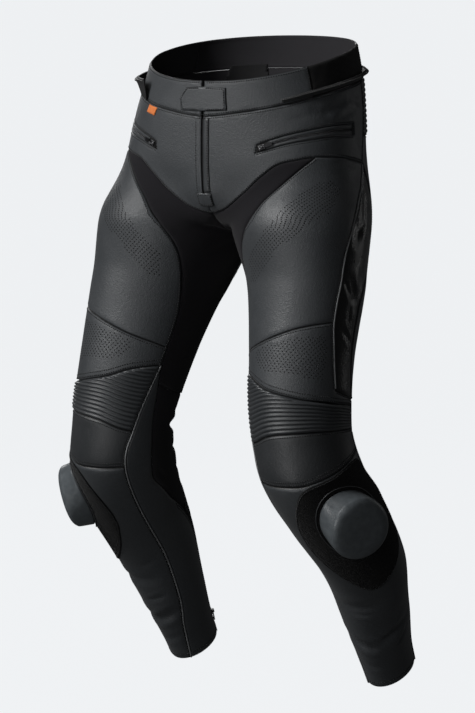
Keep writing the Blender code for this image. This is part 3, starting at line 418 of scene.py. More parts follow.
def curve(points, spacing=LINE_STEP):
    """Pattern places on a smooth line through the points, no further apart than spacing."""
    rows = np.asarray(points, float)
    counts = [max(1, math.ceil(np.linalg.norm(run) / spacing))
              for run in np.diff(flat(rows), axis=0)]
    if len(rows) == 2:
        return rows[0] + (rows[1] - rows[0]) * np.linspace(0, 1, counts[0] + 1)[:, None]
    padded = np.vstack([2 * rows[0] - rows[1], rows, 2 * rows[-1] - rows[-2]])
    places = [rows[:1]]
    for a, b, c, d, count in zip(padded, padded[1:], padded[2:], padded[3:], counts):
        t = (np.arange(1, count + 1) / count)[:, None]
        places.append(0.5 * (2 * b + (c - a) * t + (2 * a - 5 * b + 4 * c - d) * t**2
                             + (3 * b - a - 3 * c + d) * t**3))
    return np.vstack(places)


def straight(points, spacing=LINE_STEP):
    """Pattern places on straight runs between the points."""
    return np.vstack([curve((a, b), spacing)[k > 0:]
                      for k, (a, b) in enumerate(zip(points, points[1:]))])


def closed(points, spacing=LINE_STEP):
    """A closed smooth line through the points, its last place left off."""
    rows = list(points)
    looped = [rows[-1], *rows, rows[0], rows[1]]
    start = len(curve(looped[:2], spacing)) - 1
    line = curve(looped, spacing)
    stop = len(line) - (len(curve(looped[-2:], spacing)) - 1)
    return line[start:stop - 1]


def nearest_on(line, spot):
    """The flat spot of a flat line that lies nearest to a spot, and its distance."""
    run = line[1:] - line[:-1]
    t = np.clip(((spot - line[:-1]) * run).sum(1) / np.maximum((run * run).sum(1), 1e-15), 0, 1)
    found = line[:-1] + t[:, None] * run
    away = np.linalg.norm(found - spot, axis=1)
    best = away.argmin()
    return found[best], away[best]


def join_ends(lines):
    """Move each line's ends onto the line that they stop at."""
    for name, line in lines.items():
        for end in (0, -1):
            spot = flat(line[end])
            finds = [nearest_on(flat(places), spot) for other, places in lines.items()
                     if other != name]
            found, away = min(finds, key=lambda find: find[1])
            if 1e-7 < away < JOIN_REACH and 0.5 < line[end][0] < 359.5:
                line[end] = unflat(found)


def across_front(x, down):
    """The around value near the centre front where the cloth is x from the middle."""
    turns = np.linspace(0, 60, 241)
    return np.interp(x, form_point(turns, np.full(len(turns), down))[:, 0], turns)


seam_lines = {name: curve(points) for name, points in SEAMS.items()}
join_ends(seam_lines)
fly = [(across_front(FLY_HALF_WIDTH, down), down) for down in np.linspace(0, FLY_END, 50)]
seam_lines["fly"] = np.array(fly + [(0, FLY_END + 0.004)])
print(len(seam_lines), "seams,", sum(len(line) for line in seam_lines.values()), "places")


def at(name, values, column=0):
    """A seam's other coordinate at the given arounds, or downs where column is 1."""
    line = seam_lines[name]
    order = np.argsort(line[:, column])
    return np.interp(values, line[order, column], line[order, 1 - column])


def beside(line, distance):
    """A line moved sideways on the flat layout, to the right of its run for a positive distance."""
    spots = flat(line)
    run = np.gradient(spots, axis=0)
    run = run / np.maximum(np.linalg.norm(run, axis=1, keepdims=True), 1e-12)
    return unflat(spots + np.stack([-run[:, 1], run[:, 0]], -1) * distance)


# %% [markdown]
# ## Overlays
#
# Some pieces are sewn on top: the loop pads for the knee sliders, the belt tab, the placket and the
# patch at the end of the fly. Their outlines go into the same net as the seams, so that an overlay
# has exactly the points of the leather beneath it, moved out.

# %% Outlines of what is sewn on top
POCKET_LINE = ((59, 0.1105), (82, 0.1010), (106, 0.0965), (143, 0.0955), (181, 0.1000))
POCKET_HALF_HEIGHT = 0.0068
HOOK_BASE = ((190, 0.571), (150, 0.5815), (115, 0.5915), (95, 0.618), (83, 0.646), (79, 0.670),
             (81, 0.690), (92, 0.724), (113, 0.757), (133, 0.772), (160, 0.765), (188, 0.748),
             (207, 0.726), (226, 0.676), (217, 0.625), (205, 0.585))
BELT_TAB_LEFT = ((0, 0.0085), (2, 0.0088), (25, 0.0110), (24.5, 0.0440), (2, 0.0455), (0, 0.0455))
BELT_TAB_RIGHT = ((0, 0.0085), (2, 0.0088), (18, 0.0110), (26.5, 0.0280), (22, 0.0455),
                  (2, 0.0455), (0, 0.0455))
WAIST_TAG = ((58, 0.0485), (75, 0.0475), (79, 0.0600), (62, 0.0620))
SIZE_LABEL = ((280, 0.0405), (276, 0.0600), (324, 0.0600), (320, 0.0405))
PLACKET_WIDTH = 0.0120
PATCH_HALF_WIDTH = 0.0125
PATCH_LENGTH = 0.025
FLY_TAPE_HALF_WIDTH = 0.0110


def outline(points):
    """A closed outline with straight edges, its last place left off."""
    return straight(list(points) + [points[0]])[:-1]


def front_strip(x_from, x_to, down_from, down_to):
    """An outline near the centre front, given by its distances from the middle."""
    downs = np.linspace(down_from, down_to, 1 + math.ceil((down_to - down_from) / LINE_STEP))
    first = [(across_front(x_from, down) if x_from > 0 else 0.0, down) for down in downs]
    second = [(across_front(x_to, down), down) for down in downs[::-1]]
    return np.array(first + second)


pocket_middle = curve(POCKET_LINE)
window = np.vstack([pocket_middle - (0, POCKET_HALF_HEIGHT),
                    pocket_middle[::-1] + (0, POCKET_HALF_HEIGHT)])
overlay_lines = {
    "hook_base": closed(HOOK_BASE),
    "belt_tab_left": outline(BELT_TAB_LEFT),
    "belt_tab_right": outline(BELT_TAB_RIGHT),
    "waist_tag": outline(WAIST_TAG),
    "size_label": outline(SIZE_LABEL),
    "fly_placket": front_strip(FLY_HALF_WIDTH + 0.0005, PLACKET_WIDTH, 0.0565, FLY_END),
    "fly_patch": front_strip(0, PATCH_HALF_WIDTH, FLY_END + 0.002, FLY_END + PATCH_LENGTH),
    "fly_tape": front_strip(0, FLY_TAPE_HALF_WIDTH, 0.058, FLY_END),
}
print(len(overlay_lines), "outlines")

# %% [markdown]
# ## Ribs
#
# Above each knee and across the back, thin leather is folded over elastic into rows like cord. Here
# each rib is real form: its rows of points follow the rib, a few to each, and a rounded wave lifts
# them. The ribs narrow towards the outer side of the knee, so they fan out over the inner side.

# %% Where the ribs lie
RIB_HEIGHT = 0.0024
KNEE_RIB_PITCH = ((30, 0.0054), (120, 0.0046), (198, 0.0039))
BACK_RIB_PITCH = 0.0062
ROWS_PER_RIB = 6
RIB_COLUMN = 0.0045
RIB_MARGIN = 0.0009
METRES_PER_DEGREE = 0.0012
KNEE_RIB_DOWNS = (0.44, 0.56)
KNEE_RIB_TURNS = (28, 201)
KNEE_RADIUS = 0.075
MOST_KNEE_RIBS = 26
BACK_RIB_END = 0.14
BACK_RIB_TURNS = (205, 359.5)
BACK_RADIUS = 0.15
MOST_BACK_RIBS = 16
ELASTIC_PITCH = 0.0024


def knee_rib_count(around, down):
    return (at("ribs_low", around) - down) / np.interp(around, *zip(*KNEE_RIB_PITCH))


def back_rib_count(around, down):
    return (down - at("waist", around)) / BACK_RIB_PITCH


def in_knee_ribs(around, down, margin=0.0):
    side = margin / METRES_PER_DEGREE
    return ((down > at("knee_top_low", around) + margin) & (down < at("ribs_low", around) - margin)
            & (around > at("inner_low", down, 1) + side) & (around < at("outer", down, 1) - side)
            & (down > KNEE_RIB_DOWNS[0]) & (down < KNEE_RIB_DOWNS[1]))


def in_back_ribs(around, down, margin=0.0):
    side = margin / METRES_PER_DEGREE
    return ((down > at("waist", around) + margin) & (down < at("yoke_low", around) - margin)
            & (around > at("hip_side", down, 1) + side) & (down < BACK_RIB_END))


def rib_rows():
    """Rows of places along the ribs of the knee and of the back."""
    rows = []
    arounds = np.arange(*KNEE_RIB_TURNS, math.degrees(RIB_COLUMN / KNEE_RADIUS))
    for step in range(1, MOST_KNEE_RIBS * ROWS_PER_RIB):
        pitch = np.interp(arounds, *zip(*KNEE_RIB_PITCH))
        downs = at("ribs_low", arounds) - step / ROWS_PER_RIB * pitch
        inside = in_knee_ribs(arounds, downs, RIB_MARGIN)
        rows.append(np.stack([arounds, downs], -1)[inside])
    arounds = np.arange(*BACK_RIB_TURNS, math.degrees(RIB_COLUMN / BACK_RADIUS) * 2)
    for step in range(1, MOST_BACK_RIBS * ROWS_PER_RIB):
        downs = at("waist", arounds) + step / ROWS_PER_RIB * BACK_RIB_PITCH
        inside = in_back_ribs(arounds, downs, RIB_MARGIN)
        rows.append(np.stack([arounds, downs], -1)[inside])
    return [row for row in rows if len(row) > 1]


ribs = rib_rows()
print(len(ribs), "rows of places on the ribs")

# %% [markdown]
# ## Creases
#
# Worn leather creases where the body bends: behind the knee, under the seat, at the hip and along the
# shin. Each crease is a short line on the pattern with its own depth and width, so no two are alike.
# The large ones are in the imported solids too, at the same places.

# %% Crease lines
LARGE_CREASES = (
    # around_from, down_from, around_to, down_to, depth, width
    (48, 0.872, 106, 0.888, 0.0040, 0.0075),
    (106, 0.888, 186, 0.866, 0.0036, 0.0075),
    (70, 0.800, 150, 0.806, 0.0022, 0.0080),
    (285, 0.560, 352, 0.548, 0.0050, 0.0080),
    (232, 0.584, 340, 0.604, 0.0055, 0.0085),
    (250, 0.636, 330, 0.648, 0.0035, 0.0080),
    (225, 0.330, 300, 0.345, 0.0035, 0.0110),
    (236, 0.430, 312, 0.440, 0.0030, 0.0100),
    (178, 0.225, 176, 0.262, 0.0030, 0.0070),
    (172, 0.318, 186, 0.352, 0.0028, 0.0070),
)
SMALL_CREASES = (
    # side, 0 for both, around_from, down_from, around_to, down_to, depth, width
    (0, 192, 0.184, 186, 0.236, 0.0020, 0.0034),
    (0, 196, 0.200, 199, 0.246, 0.0016, 0.0034),
    (0, 186, 0.232, 178, 0.256, 0.0018, 0.0032),
    (0, 164, 0.322, 177, 0.344, 0.0020, 0.0032),
    (0, 177, 0.344, 176, 0.374, 0.0018, 0.0032),
    (0, 186, 0.300, 190, 0.340, 0.0014, 0.0034),
    (0, 170, 0.390, 188, 0.404, 0.0012, 0.0034),
    (0, 140, 0.066, 178, 0.060, 0.0026, 0.0060),
    (0, 156, 0.080, 198, 0.072, 0.0022, 0.0056),
    (0, 180, 0.060, 206, 0.070, 0.0026, 0.0046),
    (1, 120, 0.060, 146, 0.074, 0.0012, 0.0044),
    (1, 92, 0.066, 116, 0.070, 0.0008, 0.0048),
    (0, 184, 0.112, 200, 0.128, 0.0014, 0.0036),
    (0, 152, 0.140, 190, 0.150, 0.0012, 0.0040),
    (1, 86, 0.814, 128, 0.822, 0.0014, 0.0040),
    (1, 120, 0.862, 150, 0.884, 0.0012, 0.0036),
    (1, 150, 0.905, 186, 0.880, 0.0014, 0.0038),
    (-1, 60, 0.836, 104, 0.846, 0.0016, 0.0040),
    (-1, 92, 0.866, 116, 0.872, 0.0012, 0.0036),
    (-1, 48, 0.760, 78, 0.770, 0.0012, 0.0044),
    (0, 60, 0.920, 118, 0.932, 0.0010, 0.0050),
    (0, 250, 0.520, 330, 0.526, 0.0016, 0.0044),
    (0, 262, 0.548, 300, 0.540, 0.0018, 0.0036),
    (0, 226, 0.610, 290, 0.622, 0.0020, 0.0040),
    (0, 270, 0.658, 324, 0.672, 0.0014, 0.0042),
    (0, 240, 0.560, 262, 0.572, 0.0014, 0.0036),
    (0, 236, 0.700, 286, 0.712, 0.0012, 0.0048),
    (0, 226, 0.780, 280, 0.788, 0.0010, 0.0050),
    (0, 232, 0.352, 290, 0.366, 0.0016, 0.0050),
    (0, 262, 0.322, 320, 0.326, 0.0014, 0.0048),
    (0, 240, 0.400, 300, 0.412, 0.0012, 0.0050),
    (0, 250, 0.462, 316, 0.470, 0.0014, 0.0048),
    (0, 226, 0.262, 262, 0.280, 0.0012, 0.0050),
    (0, 300, 0.262, 336, 0.282, 0.0014, 0.0046),
    (0, 4, 0.640, 16, 0.612, 0.0010, 0.0040),
    (0, 338, 0.262, 352, 0.300, 0.0018, 0.0040),
    (0, 336, 0.300, 356, 0.330, 0.0014, 0.0040),
    (0, 10, 0.238, 34, 0.256, 0.0014, 0.0040),
    (0, 4, 0.262, 24, 0.290, 0.0012, 0.0040),
)
CREASE_TAPER = 0.6
CREASE_ENDS = (0.06, 0.94)
CREASE_SHOULDER = 0.28
SHOULDER_AWAY = 2.0
WAVE_DEPTH = 0.00055
WAVES = ((38, 23, 11, 0.3), (-29, 44, 17, 1.9), (61, -35, 40, 4.1), (17, 71, -52, 2.2))


def creased(around, down, side):
    """How far the creases press the cloth in, less the small shoulders that they push up."""
    scale = np.array([METRES_PER_DEGREE, 1])
    spots = np.stack(np.broadcast_arrays(around, down), -1) * scale
    depth = np.zeros(spots.shape[:-1])
    rows = list(LARGE_CREASES) + [row[1:] for row in SMALL_CREASES if row[0] in (0, side)]
    for row in rows:
        start, stop, deep, width = row[0:2] * scale, row[2:4] * scale, row[4], row[5]
        run = stop - start
        along = np.clip((spots - start) @ run / (run @ run), 0, 1)
        away = np.linalg.norm(spots - start - along[..., None] * run, axis=-1) / width
        taper = np.sin(math.pi * np.clip(along, *CREASE_ENDS)) ** CREASE_TAPER
        trough = np.exp(-away**2) - CREASE_SHOULDER * np.exp(-((away - SHOULDER_AWAY) ** 2))
        depth += deep * taper * trough
    return depth


def wavy(points):
    """Slow unevenness of hide that has been worn, from a few crossing waves."""
    total = np.zeros(points.shape[:-1])
    for x, y, z, shift in WAVES:
        total += np.sin(points @ np.array([x, y, z]) + shift)
    return WAVE_DEPTH * total / len(WAVES)


def cloth_point(around, down, side=1, lift=0.0):
    """Points of the creased cloth on the chosen side, moved out by lift."""
    base = form_point(around, down)
    normal = form_normal(around, down)
    mirror = np.array([side, 1, 1])
    away = np.asarray(lift - creased(around, down, side) + wavy(base * mirror))[..., None]
    return (base + away * normal) * mirror


print(len(LARGE_CREASES) + len(SMALL_CREASES), "creases")

# %% [markdown]
# ## One net for the whole pattern
#
# A Delaunay triangulation joins all these points into even triangles and keeps every seam as an
# edge. Rows of points close beside each seam give the leather a rounded edge there. A staggered grid
# fills the rest, with extra points along the creases.

# %% Triangulate the pattern
EDGE_ROWS = (0.0014, 0.0040)
KEEP_FROM_LINES = 0.0011
KEEP_APART = 0.0024
ROW_SHARE = 0.87
GUIDE_STEP = 0.003
GUIDE_WAYS = (-1.6, -0.7, 0.7, 1.6)
BORDER_TURN = 0.4
BORDER_DOWN = 0.001


class Spots:
    """Flat spots gathered so far, which can be asked how near they come."""

    def __init__(self, spots):
        self.tree = KDTree(len(spots))
        for index, (x, y) in enumerate(spots):
            self.tree.insert((x, y, 0), index)
        self.tree.balance()

    def away(self, spots):
        return np.array([self.tree.find((x, y, 0))[2] for x, y in spots])


def staggered_grid():
    """Staggered places all over the pattern."""
    rows = round(LENGTH / (NET_SPACING * ROW_SHARE))
    places = []
    for row in range(1, rows):
        down = LENGTH * row / rows
        count = max(10, round(np.interp(down, RING_DOWNS, RING_LENGTHS) / NET_SPACING))
        turns = 360 * (np.arange(count) + 0.25 + 0.5 * (row % 2)) / count
        places.append(np.stack([turns, np.full(count, down)], -1))
    return np.vstack(places)


def crease_guides():
    """Places along each small crease and beside it."""
    places = []
    for row in SMALL_CREASES:
        line = curve((row[1:3], row[3:5]), GUIDE_STEP)
        places += [line] + [beside(line, way * row[6]) for way in GUIDE_WAYS]
    return np.vstack(places)


def triangulate():
    """The net's places, its triangles, and the edges that are cut."""
    places, edges, cut = [], [], []

    def add(line, is_cut, loop=False):
        first = len(places)
        places.extend(line)
        for k in range(len(line) if loop else len(line) - 1):
            edges.append((first + k, first + (k + 1) % len(line)))
            cut.append(is_cut)

    for line in seam_lines.values():
        add(line, True)
    add(window, True, loop=True)
    for line in overlay_lines.values():
        add(line, False, loop=True)
    joins = sorted({0.0, CROTCH, LENGTH}
                   | {line[end][1] for line in seam_lines.values() for end in (0, -1)
                      if line[end][0] in (0.0, 360.0)})
    side = np.vstack([curve(((0, a), (0, b)))[:-1] for a, b in zip(joins, joins[1:])]
                     + [[(0, LENGTH)]])
    side[:, 0] = 0
    add(side, True)
    add(side + (360, 0), True)
    add(curve(((0, 0), (360, 0))), True)
    add(curve(((0, LENGTH), (360, LENGTH))), True)
    for row in ribs:
        add(row, False)

    lines = [*seam_lines.values(), np.vstack([window, window[:1]]), side, side + (360, 0)]
    lines += [np.vstack([line, line[:1]]) for line in overlay_lines.values()]
    dense = []
    for line in lines:
        spots = flat(line)
        dense += [spots[:-1] * (1 - t) + spots[1:] * t for t in (0, 0.25, 0.5, 0.75)]
    near_lines = Spots(np.vstack(dense))
    beside_lines = np.vstack([beside(line, way * distance) for line in lines
                              for distance in EDGE_ROWS for way in (1, -1)])
    for extra, clear in ((beside_lines, KEEP_FROM_LINES), (crease_guides(), KEEP_FROM_LINES),
                         (staggered_grid(), KEEP_APART)):
        inside = ((extra[:, 0] > BORDER_TURN) & (extra[:, 0] < 360 - BORDER_TURN)
                  & (extra[:, 1] > BORDER_DOWN) & (extra[:, 1] < LENGTH - BORDER_DOWN))
        inside &= ~in_knee_ribs(*extra.T) & ~in_back_ribs(*extra.T)
        extra = extra[inside]
        extra = extra[near_lines.away(flat(extra)) > clear]
        extra = extra[Spots(flat(places)).away(flat(extra)) > min(clear * 1.6, KEEP_APART)]
        places.extend(extra)
    result = delaunay_2d_cdt([Vector(p) for p in flat(places)], edges, [], 0, 1e-7)
    found, net_edges, triangles, _, origins, _ = result
    found = unflat([(p.x, p.y) for p in found])
    found[:, 1] = np.round(found[:, 1], 6)
    found[:, 0] = np.where(found[:, 0] < 0.02, 0, found[:, 0])
    found[:, 0] = np.where(found[:, 0] > 359.98, 360, found[:, 0])
    cuts = {tuple(sorted(edge)) for edge, origin in zip(net_edges, origins)
            if any(cut[k] for k in origin)}
    triangles = np.array(triangles)
    on_border = np.zeros(len(triangles), bool)
    for column, value in ((0, 0), (0, 360), (1, 0), (1, LENGTH)):
        on_border |= (np.abs(found[triangles][..., column] - value) < 1e-6).all(axis=1)
    return found, triangles[~on_border], cuts


net_places, net, cut_edges = triangulate()
print(len(net_places), "places and", len(net), "triangles on half the pattern")

# %% [markdown]
# ## Panels
#
# A flood fill gives each panel its triangles. It starts at the seed place and spreads over shared
# edges, but never over a cut one.

# %% Flood each panel from its seed
PANELS = {
    "waistband_front": ((60, 0.020),),
    "waistband_elastic": ((180, 0.020),),
    "waistband_back": ((300, 0.020),),
    "hip_front": ((30, 0.100),),
    "back_ribs": ((300, 0.090),),
    "seat": ((300, 0.200),),
    "side_thigh": ((187, 0.270),),
    "stretch_inner_thigh": ((90, 0.160), (350, 0.350)),
    "thigh_front": ((100, 0.300),),
    "thigh_back": ((270, 0.400),),
    "knee_top": ((100, 0.450),),
    "knee_ribs": ((100, 0.510),),
    "knee_front": ((100, 0.560),),
    "knee_back": ((300, 0.560), (5, 0.560)),
    "shin": ((100, 0.800),),
    "calf_inner": ((20, 0.800), (350, 0.850)),
    "calf_back": ((260, 0.800),),
    "calf_zip_tape": ((309, 0.880),),
    "pocket_zip_tape": ((110, 0.0965),),
}


def inside_outline(places, line):
    """Whether each place lies inside a closed line."""
    x, y = places[:, 0], places[:, 1]
    inside = np.zeros(len(places), bool)
    for (ax, ay), (bx, by) in zip(line, np.roll(line, -1, axis=0)):
        crosses = (ay > y) != (by > y)
        if ay != by:
            inside ^= crosses & (x < ax + (y - ay) * (bx - ax) / (by - ay))
    return inside


net_middles = net_places[net].mean(axis=1)


def neighbours():
    """For each triangle, those that share an uncut edge with it."""
    beside_edge = {}
    for index, (a, b, c) in enumerate(net.tolist()):
        for edge in ((a, b), (b, c), (c, a)):
            edge = edge if edge[0] < edge[1] else edge[::-1]
            if edge not in cut_edges:
                beside_edge.setdefault(edge, []).append(index)
    near = [[] for _ in range(len(net))]
    for pair in beside_edge.values():
        if len(pair) == 2:
            near[pair[0]].append(pair[1])
            near[pair[1]].append(pair[0])
    return near


def flood(seeds):
    chosen = set()
    for seed in seeds:
        order = np.linalg.norm(flat(net_middles) - flat(seed), axis=1).argsort()[:12]
        start = next(int(k) for k in order
                     if inside_outline(np.array([seed], float), net_places[net[k]])[0])
        waiting = [start]
        chosen.add(start)
        while waiting:
            for other in near_triangles[waiting.pop()]:
                if other not in chosen:
                    chosen.add(other)
                    waiting.append(other)
    return np.array(sorted(chosen))


near_triangles = neighbours()
panels = {name: flood(seeds) for name, seeds in PANELS.items()}
covers = {name: np.nonzero(inside_outline(net_middles, line))[0]
          for name, line in overlay_lines.items()}
print({name: len(members) for name, members in panels.items()})

# %% [markdown]
# ## Sewing a panel
#
# A panel is a wall with an outside, an inside and a rim. Its edge is turned under before it is sewn,
# which rounds it over: the outer points drop along a quarter circle as they come near the rim. Each
# point also keeps its distance from the rim, for the material's painted shade in the grooves and
# painted highlight on the shoulder beside them.

# %% Make a wall of cloth
LEATHER = 0.0018
OVERLAY = 0.0012
LABEL = 0.0008
SEAM_GAP = 0.0003
TAPE_SUNK = 0.0006
SHARPEST_CORNER = 0.22
ROLL_WIDTH = 0.0026
ROLL_DROP = 0.0011
SEAM_REACH = 0.006
RELIEF_FADE = 0.004
made_pieces = []

same_down = {}
for number, (turn, down_at) in enumerate(net_places):
    if turn == 0 and down_at >= CROTCH - 1e-6:
        same_down[round(down_at, 5)] = number
weld = np.arange(len(net_places))
for number, (turn, down_at) in enumerate(net_places):
    if turn == 360 and down_at >= CROTCH - 1e-6:
        weld[number] = same_down.get(round(down_at, 5), number)
on_centre = np.isin(net_places[:, 0], (0.0, 360.0)) & (net_places[:, 1] <= CROTCH + 1e-6)


def mesh_object(name, points, faces, finish):
    mesh = bpy.data.meshes.new(name)
    mesh.from_pydata(points.tolist(), [], faces)
    mesh.materials.append(finish)
    mesh.shade_smooth()
    return link(bpy.data.objects.new(name, mesh))


def settle(piece, slot, *nodes):
    """Tie a finished piece to the trousers and hide the solids it stands for. The slot is not used.
    """
    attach(piece, BODY)
    if nodes:
        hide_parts(*nodes)
    made_pieces.append(piece)
    return piece


def cloth(node, chosen, finish, slot, lift=0.0, wall=LEATHER, relief=None, roll=ROLL_DROP,
          held="hung"):
    """A wall of cloth that replaces a node. chosen lists (triangles, side) pairs."""
    keys, corners, sides = [], [], []
    for members, side in chosen:
        triangle = weld[net[members]]
        offset = np.where(on_centre[triangle], 0, len(net_places) if side < 0 else 0)
        keys.append(triangle + offset)
        corners.append(triangle)
        sides.append(np.full(triangle.shape, side))
    keys, corners, sides = (np.vstack(rows) for rows in (keys, corners, sides))
    _, first, triangles = np.unique(keys, return_index=True, return_inverse=True)
    triangles = triangles.reshape(-1, 3)
    places = net_places[corners.ravel()[first]]
    side = sides.ravel()[first]
    around, down = places.T
    mirror = np.stack([side, np.ones(len(side)), np.ones(len(side))], -1)
    normals = form_normal(around, down) * mirror
    base = form_point(around, down) * mirror
    dents = np.where(side > 0, creased(around, down, 1), creased(around, down, -1))
    base = base + normals * (wavy(base) - dents)[:, None]

    a, b, c = (base[triangles[:, k]] for k in range(3))
    out = normals[triangles].sum(axis=1)
    face = np.cross(b - a, c - a)
    flip = (face * out).sum(1) < 0
    triangles[flip] = triangles[flip][:, ::-1]
    area = np.linalg.norm(face, axis=1).sum() / 2

    count = len(places)
    ends = np.vstack([triangles[:, [0, 1, 2]], triangles[:, [1, 2, 0]], triangles[:, [2, 0, 1]]])
    rim = ends[~np.isin(ends[:, 0] * count + ends[:, 1], ends[:, 1] * count + ends[:, 0])]
    if len(chosen) > 1:
        centred = on_centre[corners.ravel()[first]]
        rim = rim[~(centred[rim[:, 0]] & centred[rim[:, 1]])]
    run = base[rim[:, 1]] - base[rim[:, 0]]
    run = run / np.maximum(np.linalg.norm(run, axis=1, keepdims=True), 1e-12)
    inward = base[rim[:, 2]] - base[rim[:, 0]]
    inward = inward - (inward * run).sum(1, keepdims=True) * run
    inward = inward / np.maximum(np.linalg.norm(inward, axis=1, keepdims=True), 1e-12)
    pull = np.zeros_like(base)
    np.add.at(pull, rim[:, 0], inward)
    np.add.at(pull, rim[:, 1], inward)
    sharp = np.maximum((pull * pull).sum(1) / 2, SHARPEST_CORNER)
    moved = base + pull * (SEAM_GAP / 2) / sharp[:, None]

    tree = KDTree(len(rim))
    for index, point in enumerate(base[rim[:, 0]]):
        tree.insert(point, index)
    tree.balance()
    away = np.array([tree.find(point)[2] for point in base])
    away[rim[:, 0]] = 0
    edge = np.clip(1 - away / ROLL_WIDTH, 0, 1)
    rise = lift - roll * (1 - np.sqrt(1 - edge**2))
    if relief is not None:
        rise = rise + relief(around, down) * np.clip(away / RELIEF_FADE, 0, 1)
    outer = moved + normals * rise[:, None]
    inner = moved + normals * (np.minimum(rise, lift) - wall)[:, None]
    faces = np.vstack([triangles, triangles[:, ::-1] + count,
                       np.stack([rim[:, 1], rim[:, 0], rim[:, 0] + count], -1),
                       np.stack([rim[:, 1], rim[:, 0] + count, rim[:, 1] + count], -1)])
    piece = mesh_object(f"{node}_cloth", np.vstack([outer, inner]), faces.tolist(), finish)
    if wall == LEATHER:
        piece.data.materials.append(lining_cloth)
        backs = np.zeros(len(faces), np.int32)
        backs[len(triangles):2 * len(triangles)] = 1
        piece.data.polygons.foreach_set("material_index", backs)
    # Nearness to the rim, which the leather turns into painted shade in the groove and a painted
    # highlight beside it.
    seam = np.tile(np.exp(-away / (SEAM_REACH / 3)), 2)
    stored = piece.data.attributes.new("seam", "FLOAT", "POINT")
    stored.data.foreach_set("value", seam.astype(np.float32))
    settle(piece, slot, node)
    return piece


# %% [markdown]
# ## Leather and cloth
#
# Leather has a grain of small closed cells with fine pores between them. Two Voronoi layers and some
# noise drive the bump. The colour drifts a little over the hide, and the roughness with it. Beside a
# seam the turned edge gets a painted highlight, a little lighter, while the groove itself gets
# painted shade, nearly black.

# %% Node helpers
class Finish:
    """A material whose nodes are added one by one."""

    def __init__(self, name, colour, roughness, metallic=0.0):
        self.material = bpy.data.materials.new(name)
        self.material.use_nodes = True
        self.tree = self.material.node_tree
        self.shader = self.tree.nodes["Principled BSDF"]
        self.shader.inputs["Base Color"].default_value = (*colour, 1)
        self.shader.inputs["Roughness"].default_value = roughness
        self.shader.inputs["Metallic"].default_value = metallic
        self.place = self.add("ShaderNodeTexCoord").outputs["Object"]

    def add(self, kind, **values):
        node = self.tree.nodes.new(kind)
        for key, value in values.items():
            setattr(node, key, value)
        return node

    def wire(self, source, target):
        self.tree.links.new(source, target)

    def noise(self, scale, detail=3.0, stretch=None):
        node = self.add("ShaderNodeTexNoise")
        node.inputs["Scale"].default_value = scale
        node.inputs["Detail"].default_value = detail
        self.wire(self.stretched(stretch), node.inputs["Vector"])
        return node.outputs["Fac"]

    def cells(self, scale, feature="F1", stretch=None):
        node = self.add("ShaderNodeTexVoronoi", feature=feature)
        node.inputs["Scale"].default_value = scale
        self.wire(self.stretched(stretch), node.inputs["Vector"])
        return node.outputs["Distance"]

    def stretched(self, stretch):
        if stretch is None:
            return self.place
        node = self.add("ShaderNodeMapping")
        node.inputs["Scale"].default_value = stretch
        self.wire(self.place, node.inputs["Vector"])
        return node.outputs["Vector"]

    def sum(self, first, second, share, kind="MULTIPLY_ADD"):
        """second + first times share."""
        node = self.add("ShaderNodeMath", operation=kind)
        self.wire(first, node.inputs[0])
        node.inputs[1].default_value = share
        if isinstance(second, (int, float)):
            node.inputs[2].default_value = second
        else:
            self.wire(second, node.inputs[2])
        return node.outputs["Value"]

    def spread(self, source, low, high, to_low, to_high):
        node = self.add("ShaderNodeMapRange")
        self.wire(source, node.inputs["Value"])
        for key, value in (("From Min", low), ("From Max", high), ("To Min", to_low),
                           ("To Max", to_high)):
            node.inputs[key].default_value = value
        return node.outputs["Result"]

    def blend(self, factor, first, second):
        node = self.add("ShaderNodeMix", data_type="RGBA")
        self.wire(factor, node.inputs[0])
        for socket, value in ((node.inputs[6], first), (node.inputs[7], second)):
            if isinstance(value, tuple):
                socket.default_value = (*value, 1)
            else:
                self.wire(value, socket)
        return node.outputs[2]

    def seam(self):
        node = self.add("ShaderNodeAttribute", attribute_name="seam")
        return node.outputs["Fac"]

    def colour(self, source):
        self.wire(source, self.shader.inputs["Base Color"])

    def roughness(self, source):
        self.wire(source, self.shader.inputs["Roughness"])

    def bump(self, height, depth, strength=1.0):
        node = self.add("ShaderNodeBump")
        node.inputs["Strength"].default_value = strength
        node.inputs["Distance"].default_value = depth
        self.wire(height, node.inputs["Height"])
        if self.shader.inputs["Normal"].links:
            self.wire(self.shader.inputs["Normal"].links[0].from_socket, node.inputs["Normal"])
        self.wire(node.outputs["Normal"], self.shader.inputs["Normal"])


def scaled(colour, factor):
    return tuple(channel * factor for channel in colour)


# %% Leather
def leather_finish(name, colour, roughness, grain=0.00016, sheen=0.0, specular=0.5):
    """Grained leather, with a painted highlight beside the seams and painted shade in their grooves.
    """
    made = Finish(name, colour, roughness)
    made.shader.inputs["Specular IOR Level"].default_value = specular
    made.shader.inputs["Sheen Weight"].default_value = sheen
    made.shader.inputs["Sheen Roughness"].default_value = 0.5
    drift = made.blend(made.spread(made.noise(9.0, 4.0), 0.32, 0.68, 0, 1),
                       scaled(colour, 0.86), scaled(colour, 1.14))
    fleck = made.blend(made.spread(made.cells(620.0), 0.15, 0.75, 0, 1), scaled(colour, 0.72), drift)
    # Painted highlight on the shoulder beside each seam, then painted shade, nearly black, in the
    # groove itself.
    seam_painted_highlight = made.blend(made.spread(made.seam(), 0.10, 0.55, 0, 1), fleck, scaled(colour, 1.12))
    seam_painted_shade = made.blend(made.spread(made.seam(), 0.60, 0.90, 0, 1), seam_painted_highlight, scaled(colour, 0.08))
    made.colour(seam_painted_shade)
    made.roughness(made.spread(made.noise(26.0, 5.0), 0.3, 0.7, roughness - 0.07, roughness + 0.07))
    pebbles = made.sum(made.cells(620.0, "SMOOTH_F1"), made.noise(2100.0, 2.0), 2.2)
    made.bump(made.sum(made.cells(260.0, "SMOOTH_F1"), pebbles, 1.4), grain, 0.75)
    return made.material


